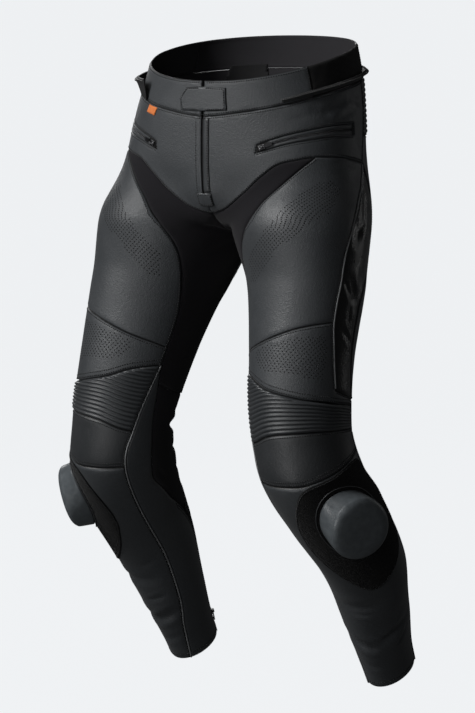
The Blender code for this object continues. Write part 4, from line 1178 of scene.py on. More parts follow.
LEATHER_COLOUR = (0.0390, 0.0430, 0.0470)
matt_leather = leather_finish("matt_leather", LEATHER_COLOUR, 0.50, sheen=0.06)
soft_leather = leather_finish("soft_leather", scaled(LEATHER_COLOUR, 0.92), 0.47, 0.00012, 0.05)
gloss_leather = leather_finish("gloss_leather", (0.0050, 0.0052, 0.0055), 0.25, 0.00009)
# The knee front's leather: the same leather made darker, as painted shade.
knee_leather_painted_shade = leather_finish("knee_leather_painted_shade", scaled(LEATHER_COLOUR, 0.52), 0.49, 0.00012, 0.04)
# The same leather made darker for the ribs and the fly placket: painted shade.
fold_leather_painted_shade = leather_finish("fold_leather_painted_shade", scaled(LEATHER_COLOUR, 0.72), 0.44, 0.00010, 0.04)
print("leather finishes made")

# %% [markdown]
# ## Stretch cloth, elastic and tape
#
# The stretch cloth in the inner thigh is a fine matt knit, faintly purple beside the leather. The
# waist elastic and the zip tapes are woven. All of them soak up light, so they get some sheen at
# grazing angles and hardly any gloss.

# %% Cloth finishes
def woven_finish(name, colour, roughness, across, down, depth, sheen=0.15):
    """A weave of crossing threads, across and down to the metre."""
    made = Finish(name, colour, roughness)
    made.shader.inputs["Specular IOR Level"].default_value = 0.18
    made.shader.inputs["Sheen Weight"].default_value = sheen
    made.shader.inputs["Sheen Roughness"].default_value = 0.6
    threads = made.sum(made.cells(1.0, "F1", (across, across, down)),
                       made.noise(1.0, 2.0, (across * 2, across * 2, down * 2)), 0.8)
    tone = made.blend(made.spread(threads, 0.3, 1.1, 0, 1), scaled(colour, 1.25),
                      scaled(colour, 0.65))
    made.colour(made.blend(made.spread(made.noise(14.0), 0.35, 0.65, 0, 1), tone,
                           scaled(colour, 0.9)))
    made.bump(threads, depth, 0.7)
    return made.material


stretch_cloth = woven_finish("stretch_cloth", (0.0078, 0.0070, 0.0090), 0.92, 900, 1500, 0.0002,
                             0.05)
lining_cloth = woven_finish("lining_cloth", (0.0230, 0.0220, 0.0250), 0.85, 1200, 1200, 0.0001,
                            0.05)
waist_elastic = woven_finish("waist_elastic", (0.0034, 0.0034, 0.0036), 0.85, 1300, 700, 0.0002,
                             0.05)
zip_tape = woven_finish("zip_tape", (0.0050, 0.0050, 0.0055), 0.80, 1500, 1500, 0.0001, 0.05)
label_cloth = woven_finish("label_cloth", (0.0060, 0.0060, 0.0068), 0.70, 1800, 1800, 0.0001,
                           0.05)
tag_cloth = woven_finish("tag_cloth", (0.75, 0.215, 0.060), 0.75, 1600, 1600, 0.0001, 0.05)


def pile_finish(name, colour):
    """The loops that the knee slider's hooks hold on to: a dense black fuzz."""
    made = Finish(name, colour, 1.0)
    made.shader.inputs["Specular IOR Level"].default_value = 0.08
    made.shader.inputs["Sheen Weight"].default_value = 0.10
    loops = made.sum(made.cells(900.0), made.noise(520.0, 6.0), 1.2)
    made.colour(made.blend(made.spread(loops, 0.5, 1.3, 0, 1), scaled(colour, 2.4),
                           scaled(colour, 0.5)))
    made.bump(loops, 0.0009, 1.0)
    return made.material


loop_pile = pile_finish("loop_pile", (0.0026, 0.0026, 0.0029))
print("cloth finishes made")

# %% [markdown]
# ## Thread, metal and plastic
#
# Thread is waxed and a little shiny. The zip sliders are dark plated metal. The knee sliders are
# moulded hard plastic, scuffed by handling: fine scratches break up their sheen.

# %% Hard finishes
def plain_finish(name, colour, roughness, metallic=0.0, uneven=0.08, scratches=0.0):
    made = Finish(name, colour, roughness, metallic)
    patches = made.noise(120.0, 5.0)
    made.roughness(made.spread(patches, 0.3, 0.7, roughness - uneven, roughness + uneven))
    made.colour(made.blend(made.spread(patches, 0.3, 0.7, 0, 1), scaled(colour, 0.85),
                           scaled(colour, 1.15)))
    if scratches:
        made.bump(made.noise(1.0, 6.0, (90, 700, 1300)), scratches, 0.5)
    return made.material


thread = plain_finish("thread", (0.0400, 0.0420, 0.0450), 0.50)
zip_strip = plain_finish("zip_strip", (0.0150, 0.0152, 0.0158), 0.60)
tooth_plastic = plain_finish("tooth_plastic", (0.0500, 0.0500, 0.0500), 0.35)
# Near-black discs that paint the shade inside needle holes and punched holes.
hole_painted_shade = plain_finish("hole_painted_shade", (0.0016, 0.0016, 0.0018), 0.95, uneven=0.02)
# Pale grey piping: partly its own grey, partly painted highlight.
piping_grey_and_painted_highlight = plain_finish("piping", (0.150, 0.154, 0.158), 0.34)
slider_metal = plain_finish("slider_metal", (0.34, 0.34, 0.35), 0.25, 0.95)
pull_metal = plain_finish("pull_metal", (0.030, 0.030, 0.032), 0.30, 0.80)
zip_coil = plain_finish("zip_coil", (0.016, 0.016, 0.018), 0.36)
slider_plastic = plain_finish("slider_plastic", (0.078, 0.088, 0.095), 0.36, scratches=0.00012)
print("hard finishes made")

# %% [markdown]
# ## The panels
#
# Now each panel is cut from the net and sewn up in its own finish, once for each side. The stretch
# cloth lies a little deeper, because the leather edges are lapped over it.

# %% Cut and sew the panels
SUNK = {"stretch_inner_thigh": 0.0005, "knee_back": 0.0005, "waistband_elastic": 0.0004,
        "calf_zip_tape": TAPE_SUNK, "pocket_zip_tape": TAPE_SUNK}
PANEL_FINISH = {
    "waistband_front": (matt_leather, "leather"),
    "waistband_elastic": (waist_elastic, "elastic"),
    "waistband_back": (matt_leather, "leather"),
    "hip_front": (matt_leather, "leather"),
    "back_ribs": (fold_leather_painted_shade, "leather"),
    "seat": (matt_leather, "leather"),
    "side_thigh": (gloss_leather, "gloss_leather"),
    "stretch_inner_thigh": (stretch_cloth, "stretch_cloth"),
    "thigh_front": (matt_leather, "leather"),
    "thigh_back": (matt_leather, "leather"),
    "knee_top": (matt_leather, "leather"),
    "knee_ribs": (fold_leather_painted_shade, "leather"),
    "knee_front": (knee_leather_painted_shade, "leather"),
    "knee_back": (stretch_cloth, "stretch_cloth"),
    "shin": (soft_leather, "leather"),
    "calf_inner": (soft_leather, "leather"),
    "calf_back": (soft_leather, "leather"),
    "calf_zip_tape": (zip_tape, "zip_tape"),
    "pocket_zip_tape": (zip_tape, "zip_tape"),
}


def cords(count_at):
    """Rounded ribs with sharp valleys, as high as the solid's."""
    return lambda around, down: RIB_HEIGHT * np.abs(np.sin(math.pi * count_at(around, down))) ** 0.8


def elastic_cords(around, down):
    metres = around * np.interp(down, RING_DOWNS, RING_LENGTHS) / 360
    return 0.0004 * np.sin(2 * math.pi * metres / ELASTIC_PITCH)


RELIEF = {"knee_ribs": cords(knee_rib_count), "back_ribs": cords(back_rib_count),
          "waistband_elastic": elastic_cords}
SIDES = ((1, "left"), (-1, "right"))
for panel, members in panels.items():
    finish, slot_name = PANEL_FINISH[panel]
    tape = panel.endswith("zip_tape")
    held_as = "stretched" if panel in ("stretch_inner_thigh", "knee_back", "back_ribs") else "hung"
    shared = dict(lift=-SUNK.get(panel, 0.0), wall=OVERLAY if tape else LEATHER,
                  relief=RELIEF.get(panel), roll=0.0 if tape else ROLL_DROP, held=held_as)
    if panel in ("waistband_back", "back_ribs"):
        cloth(panel, ((members, 1), (members, -1)), finish, slot_name, **shared)
        continue
    for side, word in SIDES:
        cloth(f"{panel}_{word}", ((members, side),), finish, slot_name, **shared)
print(len(made_pieces), "panels sewn")

# %% Sew on the overlays
over = SEAM_GAP + OVERLAY
under = -LEATHER - SEAM_GAP
cloth("belt_tab", ((covers["belt_tab_left"], 1), (covers["belt_tab_right"], -1)), matt_leather,
      "leather", lift=SEAM_GAP + LEATHER)
cloth("fly_placket", ((covers["fly_placket"], 1),), fold_leather_painted_shade, "leather", lift=over,
      wall=OVERLAY, roll=0.0006)
cloth("fly_patch", ((covers["fly_patch"], 1), (covers["fly_patch"], -1)), matt_leather,
      "leather", lift=over, wall=OVERLAY, roll=0.0006)
cloth("fly_zip_tape", ((covers["fly_tape"], 1), (covers["fly_tape"], -1)), zip_tape, "zip_tape",
      lift=under, wall=OVERLAY, roll=0.0)
cloth("waist_tag", ((covers["waist_tag"], -1),), tag_cloth, "orange_tag", lift=over, wall=OVERLAY,
      roll=0.0003)
cloth("size_label", ((covers["size_label"], -1),), label_cloth, "label_cloth", lift=under,
      wall=LABEL, roll=0.0)
for side, word in SIDES:
    cloth(f"hook_base_{word}", ((covers["hook_base"], side),), loop_pile, "hook_and_loop",
          lift=over, wall=OVERLAY, roll=0.0008)
print(len(made_pieces), "pieces sewn")

# %% [markdown]
# ## Stitching
#
# A row of stitches follows a seam at a set distance. Each stitch is a small loaf of thread that
# tapers where it dives into the leather. All the stitches of one row are joined into one mesh, since
# thousands of separate objects would be slow.

# %% Rows of stitches
STITCH_PITCH = 0.0036
STITCH_LENGTH = 0.0019
STITCH_WIDTH = 0.00085
STITCH_HEIGHT = 0.00055
STITCH_SUNK = 0.00012
LOAF_SECTIONS = ((-0.5, 0.45), (-0.2, 1.0), (0.2, 1.0), (0.5, 0.45))


def line_frames(line, side, lift, pitch):
    """Even places along a pattern line in space, each with its way ahead, outward and across."""
    dense = flat(line)
    steps = np.linspace(0, len(dense) - 1, 4 * len(dense))
    dense = unflat(np.stack([np.interp(steps, np.arange(len(dense)), dense[:, k])
                             for k in range(2)], -1))
    around = np.clip(dense[:, 0], 0, 360)
    points = cloth_point(around, dense[:, 1], side, lift)
    outward = form_normal(around, dense[:, 1]) * np.array([side, 1, 1])
    reach = np.concatenate([[0], np.cumsum(np.linalg.norm(np.diff(points, axis=0), axis=1))])
    wanted = np.arange(pitch / 2, reach[-1], pitch)
    places = np.stack([np.interp(wanted, reach, points[:, k]) for k in range(3)], -1)
    out = np.stack([np.interp(wanted, reach, outward[:, k]) for k in range(3)], -1)
    ahead = np.gradient(places, axis=0) if len(places) > 1 else points[-1:] - points[:1]
    ahead = ahead / np.linalg.norm(ahead, axis=1, keepdims=True)
    out = out - (out * ahead).sum(1, keepdims=True) * ahead
    out = out / np.linalg.norm(out, axis=1, keepdims=True)
    return places, ahead, out, np.cross(ahead, out)


def loaf(length, width, height):
    """One stitch: points ahead, across and out, with its faces."""
    points, faces = [], []
    for share, fullness in LOAF_SECTIONS:
        wide = width / 2 * fullness
        for across, rise in ((-1, 0), (-0.6, 1), (0.6, 1), (1, 0)):
            points.append((share * length, across * wide, rise * height * fullness))
    for k in range(len(LOAF_SECTIONS) - 1):
        for j in range(4):
            a, b = 4 * k + j, 4 * k + (j + 1) % 4
            faces.append((a, b, b + 4, a + 4))
    last = 4 * (len(LOAF_SECTIONS) - 1)
    faces.append((3, 2, 1, 0))
    faces.append((last, last + 1, last + 2, last + 3))
    return np.array(points), faces


def repeat_on(frames, shape, faces):
    """Copies of a small shape at each frame, as one list of points and faces."""
    places, ahead, out, across = frames
    points = (places[:, None] + shape[None, :, :1] * ahead[:, None]
              + shape[None, :, 1:2] * across[:, None] + shape[None, :, 2:] * out[:, None])
    return points.reshape(-1, 3), [tuple(corner + first for corner in face)
                                   for first in range(0, len(shape) * len(places), len(shape))
                                   for face in faces]


def joined(name, parts, finish, slot):
    """One piece from many (points, faces) parts."""
    faces, first = [], 0
    for points, part_faces in parts:
        faces.extend(tuple(corner + first for corner in face) for face in part_faces)
        first += len(points)
    return settle(mesh_object(name, np.vstack([part[0] for part in parts]), faces, finish), slot)


def disc(sides, radius, top, low):
    """A tiny dark disc, painted shade where a hole opens, closed above and below."""
    turns = np.arange(sides) * 2 * math.pi / sides
    ring = np.column_stack([np.cos(turns), np.sin(turns), np.zeros(sides)]) * radius
    faces = [tuple(range(sides)), tuple(range(2 * sides - 1, sides - 1, -1))]
    faces += [(k, k + sides, (k + 1) % sides + sides, (k + 1) % sides) for k in range(sides)]
    return np.vstack([ring + (0, 0, top), ring + (0, 0, low)]), faces


# %% Which seams are topstitched
STITCH_ROWS = (
    # seam, millimetres to the right of its run
    ("hip_hem", -3.4),
    ("hip_hem_side", -3.4),
    ("inner", -3.4),
    ("thigh", -3.4),
    ("knee_top_low", -3.0),
    ("knee_top_low", -7.6),
    ("ribs_low", 3.2),
    ("knee_low", -3.2),
    ("knee_low", -6.2),
    ("waist", -3.2),
    ("waist", 3.4),
    ("elastic_front", 2.2),
    ("elastic_back", -2.2),
    ("side_front", 2.8),
    ("side_foot", 2.2),
    ("side_back", -2.3),
    ("seat_low", -2.2),
    ("seat_low", 2.2),
    ("seat_inner", 2.2),
    ("inner_low", -2.8),
    ("outer", 2.8),
    ("knee_back_top", -2.2),
    ("knee_back_low", 2.2),
    ("yoke_low", 2.2),
    ("hip_side", 2.2),
    ("zip_back", 2.4),
    ("zip_back", 5.6),
    ("inner_back_low", -2.4),
    ("inner_back_low", -5.6),
)
HEM_ROW = 0.009
TOP_ROW = 0.0032
POCKET_ROW = 0.0034
NEEDLE_RADIUS = 0.00098
NEEDLE_HEIGHT = 0.00026
NEEDLE_SIDES = 6
POCKET_END_TURN = 1.9
BASE_ROW = 0.0022
FLY_ROW = 0.0105
FLY_ROW_FROM = 0.060
PATCH_ROW = 0.0020
PATCH_ROWS_FROM = 0.0042
PATCH_ROWS_TO = 0.023
needle_places = []
stitch = loaf(STITCH_LENGTH, STITCH_WIDTH, STITCH_HEIGHT)


def stitch_row(line, side, lift=0.0, pitch=STITCH_PITCH):
    """A row of stitches, with the place of each needle hole between them."""
    frames = line_frames(line, side, lift - STITCH_SUNK, pitch)
    halfway = frames[0][:-1] + np.diff(frames[0], axis=0) / 2
    needle_places.append((halfway, *(part[:-1] for part in frames[1:])))
    return repeat_on(frames, *stitch)


tab_edge_left = ((2, 0.0110), (22.6, 0.0132), (22.2, 0.0420), (2, 0.0430))
tab_edge_right = ((2, 0.0110), (17, 0.0132), (24.0, 0.0284), (20.2, 0.0430), (2, 0.0430))
for side, word in SIDES:
    rows = [stitch_row(beside(seam_lines[name], away / 1000), side) for name, away in STITCH_ROWS]
    rows.append(stitch_row(curve(((0, LENGTH - HEM_ROW), (360, LENGTH - HEM_ROW))), side))
    rows.append(stitch_row(curve(((2, TOP_ROW), (120, TOP_ROW))), side))
    rows.append(stitch_row(curve(((238, TOP_ROW), (360, TOP_ROW))), side))
    upper = pocket_middle - (0, POCKET_HALF_HEIGHT + POCKET_ROW)
    lower = pocket_middle + (0, POCKET_HALF_HEIGHT + POCKET_ROW)
    ends = [straight((tuple(upper[k] + (shift, 0)), tuple(lower[k] + (shift, 0))))
            for k, shift in ((0, -POCKET_END_TURN), (-1, POCKET_END_TURN))]
    rows += [stitch_row(line, side) for line in (upper, lower, *ends)]
    base_edge = np.vstack([overlay_lines["hook_base"], overlay_lines["hook_base"][:1]])
    rows.append(stitch_row(beside(base_edge, -BASE_ROW), side, over))
    tab_edge = tab_edge_left if side > 0 else tab_edge_right
    rows.append(stitch_row(straight(tab_edge), side, SEAM_GAP + LEATHER))
    joined(f"stitching_{word}", rows, thread, "zip_tape")

placket_edge = [(across_front(PLACKET_WIDTH - BASE_ROW, down), down)
                for down in np.linspace(FLY_ROW_FROM, FLY_END - 0.003, 40)]
fly_row = [(across_front(FLY_ROW, down), down)
           for down in np.linspace(FLY_ROW_FROM, FLY_END + 0.004, 40)]
patch_x = PATCH_HALF_WIDTH - PATCH_ROW
patch_rows = [[(across_front(patch_x, down), down)
               for down in np.linspace(FLY_END + 0.004, FLY_END + PATCH_ROWS_TO, 8)]]
patch_rows += [[(across_front(x, FLY_END + below), FLY_END + below)
                for x in np.linspace(0.0008, patch_x, 8)]
               for below in (PATCH_ROWS_FROM, PATCH_ROWS_TO)]
front_rows = [stitch_row(np.array(placket_edge), 1, over), stitch_row(np.array(fly_row), -1)]
front_rows += [stitch_row(np.array(row), side, over) for row in patch_rows for side in (1, -1)]
joined("stitching_fly", front_rows, thread, "zip_tape")
hole = disc(NEEDLE_SIDES, NEEDLE_RADIUS, NEEDLE_HEIGHT, -NEEDLE_HEIGHT)
# Painted shade: a near-black disc at each needle hole.
joined("needle_holes", [repeat_on(frames, *hole) for frames in needle_places], hole_painted_shade,
       "leather")
print(sum(len(frames[0]) for frames in needle_places), "stitches")

# %% [markdown]
# ## Piping
#
# A thin glossy cord is caught in the seam down the side of the thigh and down both sides of the calf.
# Its pale grey is partly its own colour and partly painted highlight. It stands proud and catches the
# light as one bright line.

# %% Piping along the side and calf seams
PIPING_RADIUS = 0.00125
PIPING_STEP = 0.004
PIPING_SIDES = 8
PIPING_SUNK = 0.0001
OUTER_PIPING_FROM = 0.528


def swept(sections, count):
    """Faces between following sections, each a closed ring of count points."""
    return [(count * k + j, count * k + (j + 1) % count, count * (k + 1) + (j + 1) % count,
             count * (k + 1) + j) for k in range(sections - 1) for j in range(count)]


def tube(line, side, radius, lift):
    """A round cord along a pattern line, with closed ends."""
    places, ahead, out, across = line_frames(line, side, lift, PIPING_STEP)
    turns = np.arange(PIPING_SIDES) * 2 * math.pi / PIPING_SIDES
    ring = (across[:, None] * np.cos(turns)[None, :, None]
            + out[:, None] * np.sin(turns)[None, :, None]) * radius
    points = (places[:, None] + ring).reshape(-1, 3)
    faces = swept(len(places), PIPING_SIDES)
    first, last = len(points), len(points) + 1
    points = np.vstack([points, places[0] - ahead[0] * radius * 0.6,
                        places[-1] + ahead[-1] * radius * 0.6])
    end = PIPING_SIDES * (len(places) - 1)
    for j in range(PIPING_SIDES):
        n = (j + 1) % PIPING_SIDES
        faces += [(n, j, first), (end + j, end + n, last)]
    return points, faces


for side, word in SIDES:
    low_outer = seam_lines["outer"]
    low_outer = low_outer[low_outer[:, 1] > OUTER_PIPING_FROM]
    cords_made = [tube(line, side, PIPING_RADIUS, -PIPING_SUNK)
                  for line in (seam_lines["side_front"], seam_lines["inner_low"], low_outer)]
    joined(f"piping_{word}", cords_made, piping_grey_and_painted_highlight, "leather")
print("piping laid")

# %% [markdown]
# ## Perforations
#
# A diagonal band of small punched holes lets air in over the thigh, and another above the knee. Each
# hole is a tiny near-black disc of painted shade, in staggered rows that run with the band.

# %% Punch the holes
HOLE_RADIUS = 0.00100
HOLE_PITCH = 0.0066
HOLE_ROWS = 0.0033
HOLE_SIDES = 8
HOLE_PROUD = 0.00010
HOLE_DEPTH = 0.00050
HOLE_REACH = 60
HOLE_BANDS = (
    ((63, 0.306), (74, 0.290), (87, 0.272), (93.5, 0.260), (102.5, 0.240), (108, 0.228),
     (117.5, 0.202), (132.5, 0.174), (146.5, 0.168), (158.5, 0.182), (152.5, 0.208), (147, 0.228),
     (132.5, 0.246), (118, 0.270), (105.5, 0.286), (94, 0.302), (82, 0.322), (70, 0.336),
     (58, 0.336)),
    ((62, 0.442), (69, 0.431), (90.5, 0.422), (111.5, 0.414), (127, 0.408), (150, 0.402),
     (153, 0.436), (148, 0.463), (123.5, 0.461), (98.5, 0.461), (84.5, 0.460), (70, 0.455)),
)


def hole_places(band):
    """Staggered rows of places inside a band."""
    middle = flat(band).mean(0)
    reach = np.arange(-HOLE_REACH, HOLE_REACH + 1)
    places = [middle + np.stack([(reach + 0.5 * (row % 2)) * HOLE_PITCH,
                                 np.full(len(reach), row * HOLE_ROWS)], -1) for row in reach]
    places = unflat(np.vstack(places))
    return places[inside_outline(places, np.array(band, float))]


punched = disc(HOLE_SIDES, HOLE_RADIUS, HOLE_PROUD, -HOLE_DEPTH)
for side, word in SIDES:
    places = np.vstack([hole_places(band) for band in HOLE_BANDS])
    centre = cloth_point(places[:, 0], places[:, 1], side)
    out = form_normal(places[:, 0], places[:, 1]) * np.array([side, 1, 1])
    ahead = np.cross(out, (1.0, 0, 0))
    ahead = ahead / np.linalg.norm(ahead, axis=1, keepdims=True)
    holes = repeat_on((centre, ahead, out, np.cross(out, ahead)), *punched)
    # Painted shade: a near-black disc in each punched hole.
    joined(f"perforations_{word}", [holes], hole_painted_shade, "leather")
    print(len(places), "holes", word)

# %% [markdown]
# ## Zips
#
# A coil zip is two rows of plastic loops that mesh along the middle of the tape. Each loop is a small
# block here, and the two rows are half a pitch apart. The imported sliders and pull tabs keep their
# true shape. They only get metal and a fine bevel.

# %% Teeth, sliders and pull tabs
TOOTH_PITCH = 0.0016
TOOTH = loaf(0.0011, 0.0030, 0.0011)
TOOTH_ASIDE = 0.0011
TEETH_SUNK = TAPE_SUNK + 0.0002
METAL_BEVEL = 0.00018
CALF_ZIP_FROM = 0.722
CALF_ZIP_TO = LENGTH - 0.004


def teeth(line, side, lift):
    rows = []
    for way, shift in ((1, 0.0), (-1, 0.5)):
        row = beside(line, way * TOOTH_ASIDE)
        frames = line_frames(row, side, lift, TOOTH_PITCH)
        if shift:
            frames = (frames[0] + frames[1] * TOOTH_PITCH * shift, *frames[1:])
        rows.append(repeat_on(frames, *TOOTH))
    return rows


WELT_SHAPE = ((-0.0066, -0.0012), (-0.0064, -0.0002), (-0.0056, 0.0006), (-0.0040, 0.0008),
              (-0.0024, 0.0004), (-0.0014, -0.0002), (-0.0011, -0.0012))
WELT_FROM = 67.5
WELT_TO = 179.3


def welt(side, way):
    """One leather lip of the pocket, swept along the window beside the zip."""
    line = pocket_middle[(pocket_middle[:, 0] > WELT_FROM) & (pocket_middle[:, 0] < WELT_TO)]
    rings = []
    for away, rise in WELT_SHAPE:
        shifted = line + (0, way * away)
        rings.append(cloth_point(shifted[:, 0], shifted[:, 1], side, rise))
    points = np.stack(rings, 1)
    count = len(WELT_SHAPE)
    faces = swept(len(line), count)
    faces.append(tuple(range(count)))
    faces.append(tuple(count * (len(line) - 1) + j for j in range(count))[::-1])
    if side * way > 0:
        faces = [face[::-1] for face in faces]
    return points.reshape(-1, 3), faces


calf_downs = np.linspace(CALF_ZIP_FROM, CALF_ZIP_TO, 70)
calf_arounds = (at("inner_back_low", calf_downs, 1) + at("zip_back", calf_downs, 1)) / 2
calf_middle = np.stack([calf_arounds, calf_downs], -1)
for side, word in SIDES:
    joined(f"pocket_welts_{word}", [welt(side, 1), welt(side, -1)], soft_leather, "leather")
    joined(f"pocket_teeth_{word}", teeth(pocket_middle[2:-2], side, -TEETH_SUNK), zip_coil,
           "zip_tape")
    joined(f"calf_teeth_{word}", teeth(calf_middle, side, -TEETH_SUNK), zip_coil,
           "zip_tape")
    for node in (f"pocket_slider_{word}", f"pocket_pull_{word}", f"calf_slider_{word}",
                 f"calf_pull_{word}"):
        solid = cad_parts[node]
        solid.data.materials.clear()
        solid.data.materials.append(pull_metal if "pull" in node else slider_metal)
        bevel = solid.modifiers.new("soft_edges", "BEVEL")
        bevel.width = METAL_BEVEL
        bevel.segments = 2
print("zips made")

# %% [markdown]
# ## The zip round the back of the waist
#
# Half a heavy zip goes round the back below the waistband, to join the trousers to a jacket. On the
# wearer's left it is rolled in a narrow welt, and on the right its loose end stands away. The packed
# strip is swept again here with a rounded edge, and the teeth sit along that edge.

# %% Connection zip
FLAP_COLUMNS = ("turn", "down", "width", "tilt_degrees")
FLAP = (
    (84, 0.0440, 0.032, 66),
    (98, 0.0430, 0.029, 62),
    (118, 0.0425, 0.021, 54),
    (150, 0.0420, 0.017, 46),
    (230, 0.0425, 0.014, 40),
    (360, 0.0440, 0.012, 38),
    (490, 0.0425, 0.009, 46),
    (600, 0.0410, 0.007, 54),
    (636, 0.0420, 0.005, 62),
)
FLAP_THICKNESS = 0.0018
FLAP_STAND_OFF = 0.0006
FLAP_SECTIONS = 260
FLAP_SHAPE = ((0.0, 0.5), (0.25, 0.45), (0.55, 0.45), (0.75, 0.6), (0.88, 1.05), (0.96, 1.05),
              (1.0, 0.5), (1.0, -0.5), (0.96, -1.05), (0.88, -1.05), (0.75, -0.6), (0.55, -0.45),
              (0.25, -0.45), (0.0, -0.5))
FLAP_TOOTH = loaf(0.0019, 0.0022, 0.0014)
FLAP_TOOTH_FROM = 0.002
FLAP_TOOTH_PITCH = 0.0030
FLAP_TOOTH_OUT = 0.92
FLAP_TOOTH_RISE = 0.95


def flap_frames():
    """The strip's root, its way out and its thickness direction at each section."""
    columns = dict(zip(FLAP_COLUMNS, np.array(FLAP).T))
    turns = np.linspace(columns["turn"][0], columns["turn"][-1], FLAP_SECTIONS)
    low, wide, tilt = (np.interp(turns, columns["turn"], columns[name])
                       for name in FLAP_COLUMNS[1:])
    angle = np.radians(tilt)[:, None]
    side = np.where(turns < 360, -1, 1)
    around = np.where(side < 0, turns, 720 - turns)
    mirror = np.stack([side, np.ones(len(side)), np.ones(len(side))], -1)
    outward = form_normal(around, low) * mirror
    stand = FLAP_STAND_OFF + FLAP_THICKNESS / 2 * np.sin(angle)
    root = form_point(around, low) * mirror + outward * stand
    below = form_point(around, low + 0.002) * mirror - form_point(around, low) * mirror
    below = below - (below * outward).sum(1, keepdims=True) * outward
    up = -below / np.linalg.norm(below, axis=1, keepdims=True)
    run = outward * np.cos(angle) + up * np.sin(angle)
    thick = outward * np.sin(angle) - up * np.cos(angle)
    return root, run, thick, wide


root, run, thick, wide = flap_frames()
shape = np.array(FLAP_SHAPE)
strip = (root[:, None] + run[:, None] * wide[:, None, None] * shape[None, :, :1]
         + thick[:, None] * FLAP_THICKNESS * shape[None, :, 1:])
strip_points = strip.reshape(-1, 3)
corners_round = len(shape)
strip_faces = swept(FLAP_SECTIONS, corners_round)
strip_faces.append(tuple(range(corners_round))[::-1])
strip_faces.append(tuple(corners_round * (FLAP_SECTIONS - 1) + j for j in range(corners_round)))
flap = joined("connection_zip_flap_cloth", [(strip_points, strip_faces)], zip_strip,
              "zip_tape")
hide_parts("connection_zip_flap")
flap_length = np.linalg.norm(np.diff(root, axis=0), axis=1).sum()

edge_line = root + run * (wide * FLAP_TOOTH_OUT)[:, None]
reach = np.concatenate([[0], np.cumsum(np.linalg.norm(np.diff(edge_line, axis=0), axis=1))])
stops = np.arange(FLAP_TOOTH_FROM, reach[-1], FLAP_TOOTH_PITCH)
tooth_frames = [np.stack([np.interp(stops, reach, source[:, k]) for k in range(3)], -1)
                for source in (edge_line, run, thick)]
tooth_ahead = np.gradient(tooth_frames[0], axis=0)
tooth_ahead = tooth_ahead / np.linalg.norm(tooth_ahead, axis=1, keepdims=True)
tooth_rows = []
for way in (1, -1):
    out = tooth_frames[2] * way
    places = tooth_frames[0] + out * FLAP_THICKNESS * FLAP_TOOTH_RISE
    tooth_rows.append(repeat_on((places, tooth_ahead, out, np.cross(tooth_ahead, out)),
                                *FLAP_TOOTH))
joined("connection_teeth", tooth_rows, tooth_plastic, "zip_tape")
print("connection zip", round(flap_length, 3), "m long")

# %% [markdown]
# ## Knee sliders
#
# A knee slider is a hard puck that rubs on the road. Its back follows the shin, its sides rise
# steeply and its top is nearly flat. Rings of one rounded outline, drawn in as they rise, make the
# whole shell, and the table says how far in and how high each ring is.

# %% Knee sliders
SLIDER_PLACE = (148, 0.652)
SLIDER_HEIGHT = 0.024
SLIDER_STAND_OFF = 0.0006
SLIDER_OUTLINE = ((0.002, -0.052), (0.026, -0.045), (0.043, -0.022), (0.047, 0.006),
                  (0.036, 0.036), (0.012, 0.050), (-0.016, 0.046), (-0.036, 0.026),
                  (-0.044, -0.002), (-0.034, -0.026), (-0.018, -0.044))
SLIDER_POINTS = 112
BINDING_SCALE = 1.10
BINDING_RADIUS = 0.0008
SLIDER_SEAT_RINGS = (0.2, 0.4, 0.6, 0.8, 0.95, 1.0)
SLIDER_PROFILE = (
    # share of the height, scale
    (0.02, 0.990),
    (0.10, 1.000),
    (0.30, 0.998),
    (0.50, 0.985),
    (0.64, 0.966),
    (0.72, 0.940),
    (0.82, 0.888),
    (0.90, 0.815),
    (0.955, 0.700),
    (0.985, 0.545),
    (0.997, 0.300),
)


def slider_outline():
    """The rounded outline, as metres across and down from its middle."""
    rows = np.asarray(SLIDER_OUTLINE, float)
    turn = np.arctan2(rows[:, 1], rows[:, 0])
    radius = np.hypot(rows[:, 0], rows[:, 1])
    order = np.argsort(turn)
    wanted = np.linspace(-math.pi, math.pi, SLIDER_POINTS, endpoint=False)
    radius = np.interp(wanted, turn[order], radius[order], period=2 * math.pi)
    for _ in range(60):
        radius = (np.roll(radius, 1) + 2 * radius + np.roll(radius, -1)) / 4
    return np.stack([radius * np.cos(wanted), radius * np.sin(wanted)], -1)


def frame_at(around, down, side, lift):
    """A place on the cloth with its outward normal, and the pattern's way down there."""
    mirror = np.array([side, 1, 1])
    place = cloth_point(np.array(around), np.array(down), side, lift)
    normal = form_normal(around, down) * mirror
    ahead = cloth_point(np.array(around), np.array(down + 0.002), side, lift) - place
    ahead = ahead - (ahead @ normal) * normal
    return place, normal, ahead / np.linalg.norm(ahead)


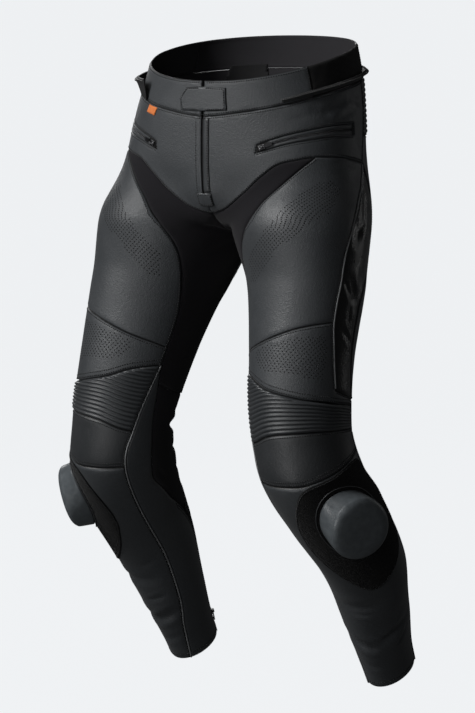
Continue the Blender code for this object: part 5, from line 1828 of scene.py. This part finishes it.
def knee_slider(node, side):
    shape = slider_outline()
    around, down = SLIDER_PLACE
    lift = 2 * SEAM_GAP + OVERLAY + SLIDER_STAND_OFF
    place, normal, below = frame_at(around, down, side, lift)
    degrees = 1 / np.linalg.norm(form_point(around + 1, down) - form_point(around, down))
    across = np.cross(below, normal) * -side

    def seated(scale):
        spots = shape * scale
        return cloth_point(around + spots[:, 0] * degrees, down + spots[:, 1], side, lift)

    rings = [seated(scale) for scale in SLIDER_SEAT_RINGS]
    top = place + normal * SLIDER_HEIGHT
    heights = np.linspace(SLIDER_PROFILE[0][0], SLIDER_PROFILE[-1][0], 30)
    heights = np.sort(np.concatenate([heights, (0.93, 0.945, 0.965, 0.975, 0.992)]))
    for height, scale in smooth(SLIDER_PROFILE, heights):
        spots = shape * scale
        plane = top + spots[:, :1] * across + spots[:, 1:] * below
        plane = plane - normal * (SLIDER_HEIGHT * (1 - height))
        rise = np.clip((height - 0.1) / 0.5, 0, 1)
        stand = seated(scale) + normal * (SLIDER_HEIGHT * height * 0.5)
        rings.append(plane * rise + stand * (1 - rise))
    seat = cloth_point(np.array([around]), np.array([down]), side, lift)
    points = np.vstack([seat, *rings, [top]])
    count = len(shape)
    faces = []
    for k in range(count):
        n = (k + 1) % count
        faces.append((0, 1 + n, 1 + k))
        for ring in range(len(rings) - 1):
            a = 1 + ring * count
            faces.append((a + k, a + n, a + count + n, a + count + k))
        a = 1 + (len(rings) - 1) * count
        faces.append((a + k, a + n, len(points) - 1))
    if side > 0:
        faces = [face[::-1] for face in faces]
    piece = joined(f"{node}_puck", [(points, faces)], slider_plastic, "slider_plastic")
    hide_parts(node)
    return piece


def slider_binding(side):
    """The corded edge of the slider's backing, where it lies on the loops."""
    around, down = SLIDER_PLACE
    degrees = 1 / np.linalg.norm(form_point(around + 1, down) - form_point(around, down))
    spots = slider_outline() * BINDING_SCALE
    line = np.column_stack([around + spots[:, 0] * degrees, down + spots[:, 1]])
    return tube(np.vstack([line, line[:2]]), side, BINDING_RADIUS, over + BINDING_RADIUS)


for side, word in SIDES:
    knee_slider(f"knee_slider_{word}", side)
    joined(f"slider_binding_{word}", [slider_binding(side)], thread, "slider_plastic")
print("knee sliders moulded")

# %% [markdown]
# ## Count
#
# The finished pieces and their triangles are counted and printed. The finished model has to stay
# inside the imported one, apart from a little that cloth may stand proud.

# %% Count the pieces
triangles = sum(len(face.vertices) - 2 for piece in made_pieces for face in piece.data.polygons)
print(len(made_pieces), "pieces,", triangles, "triangles")
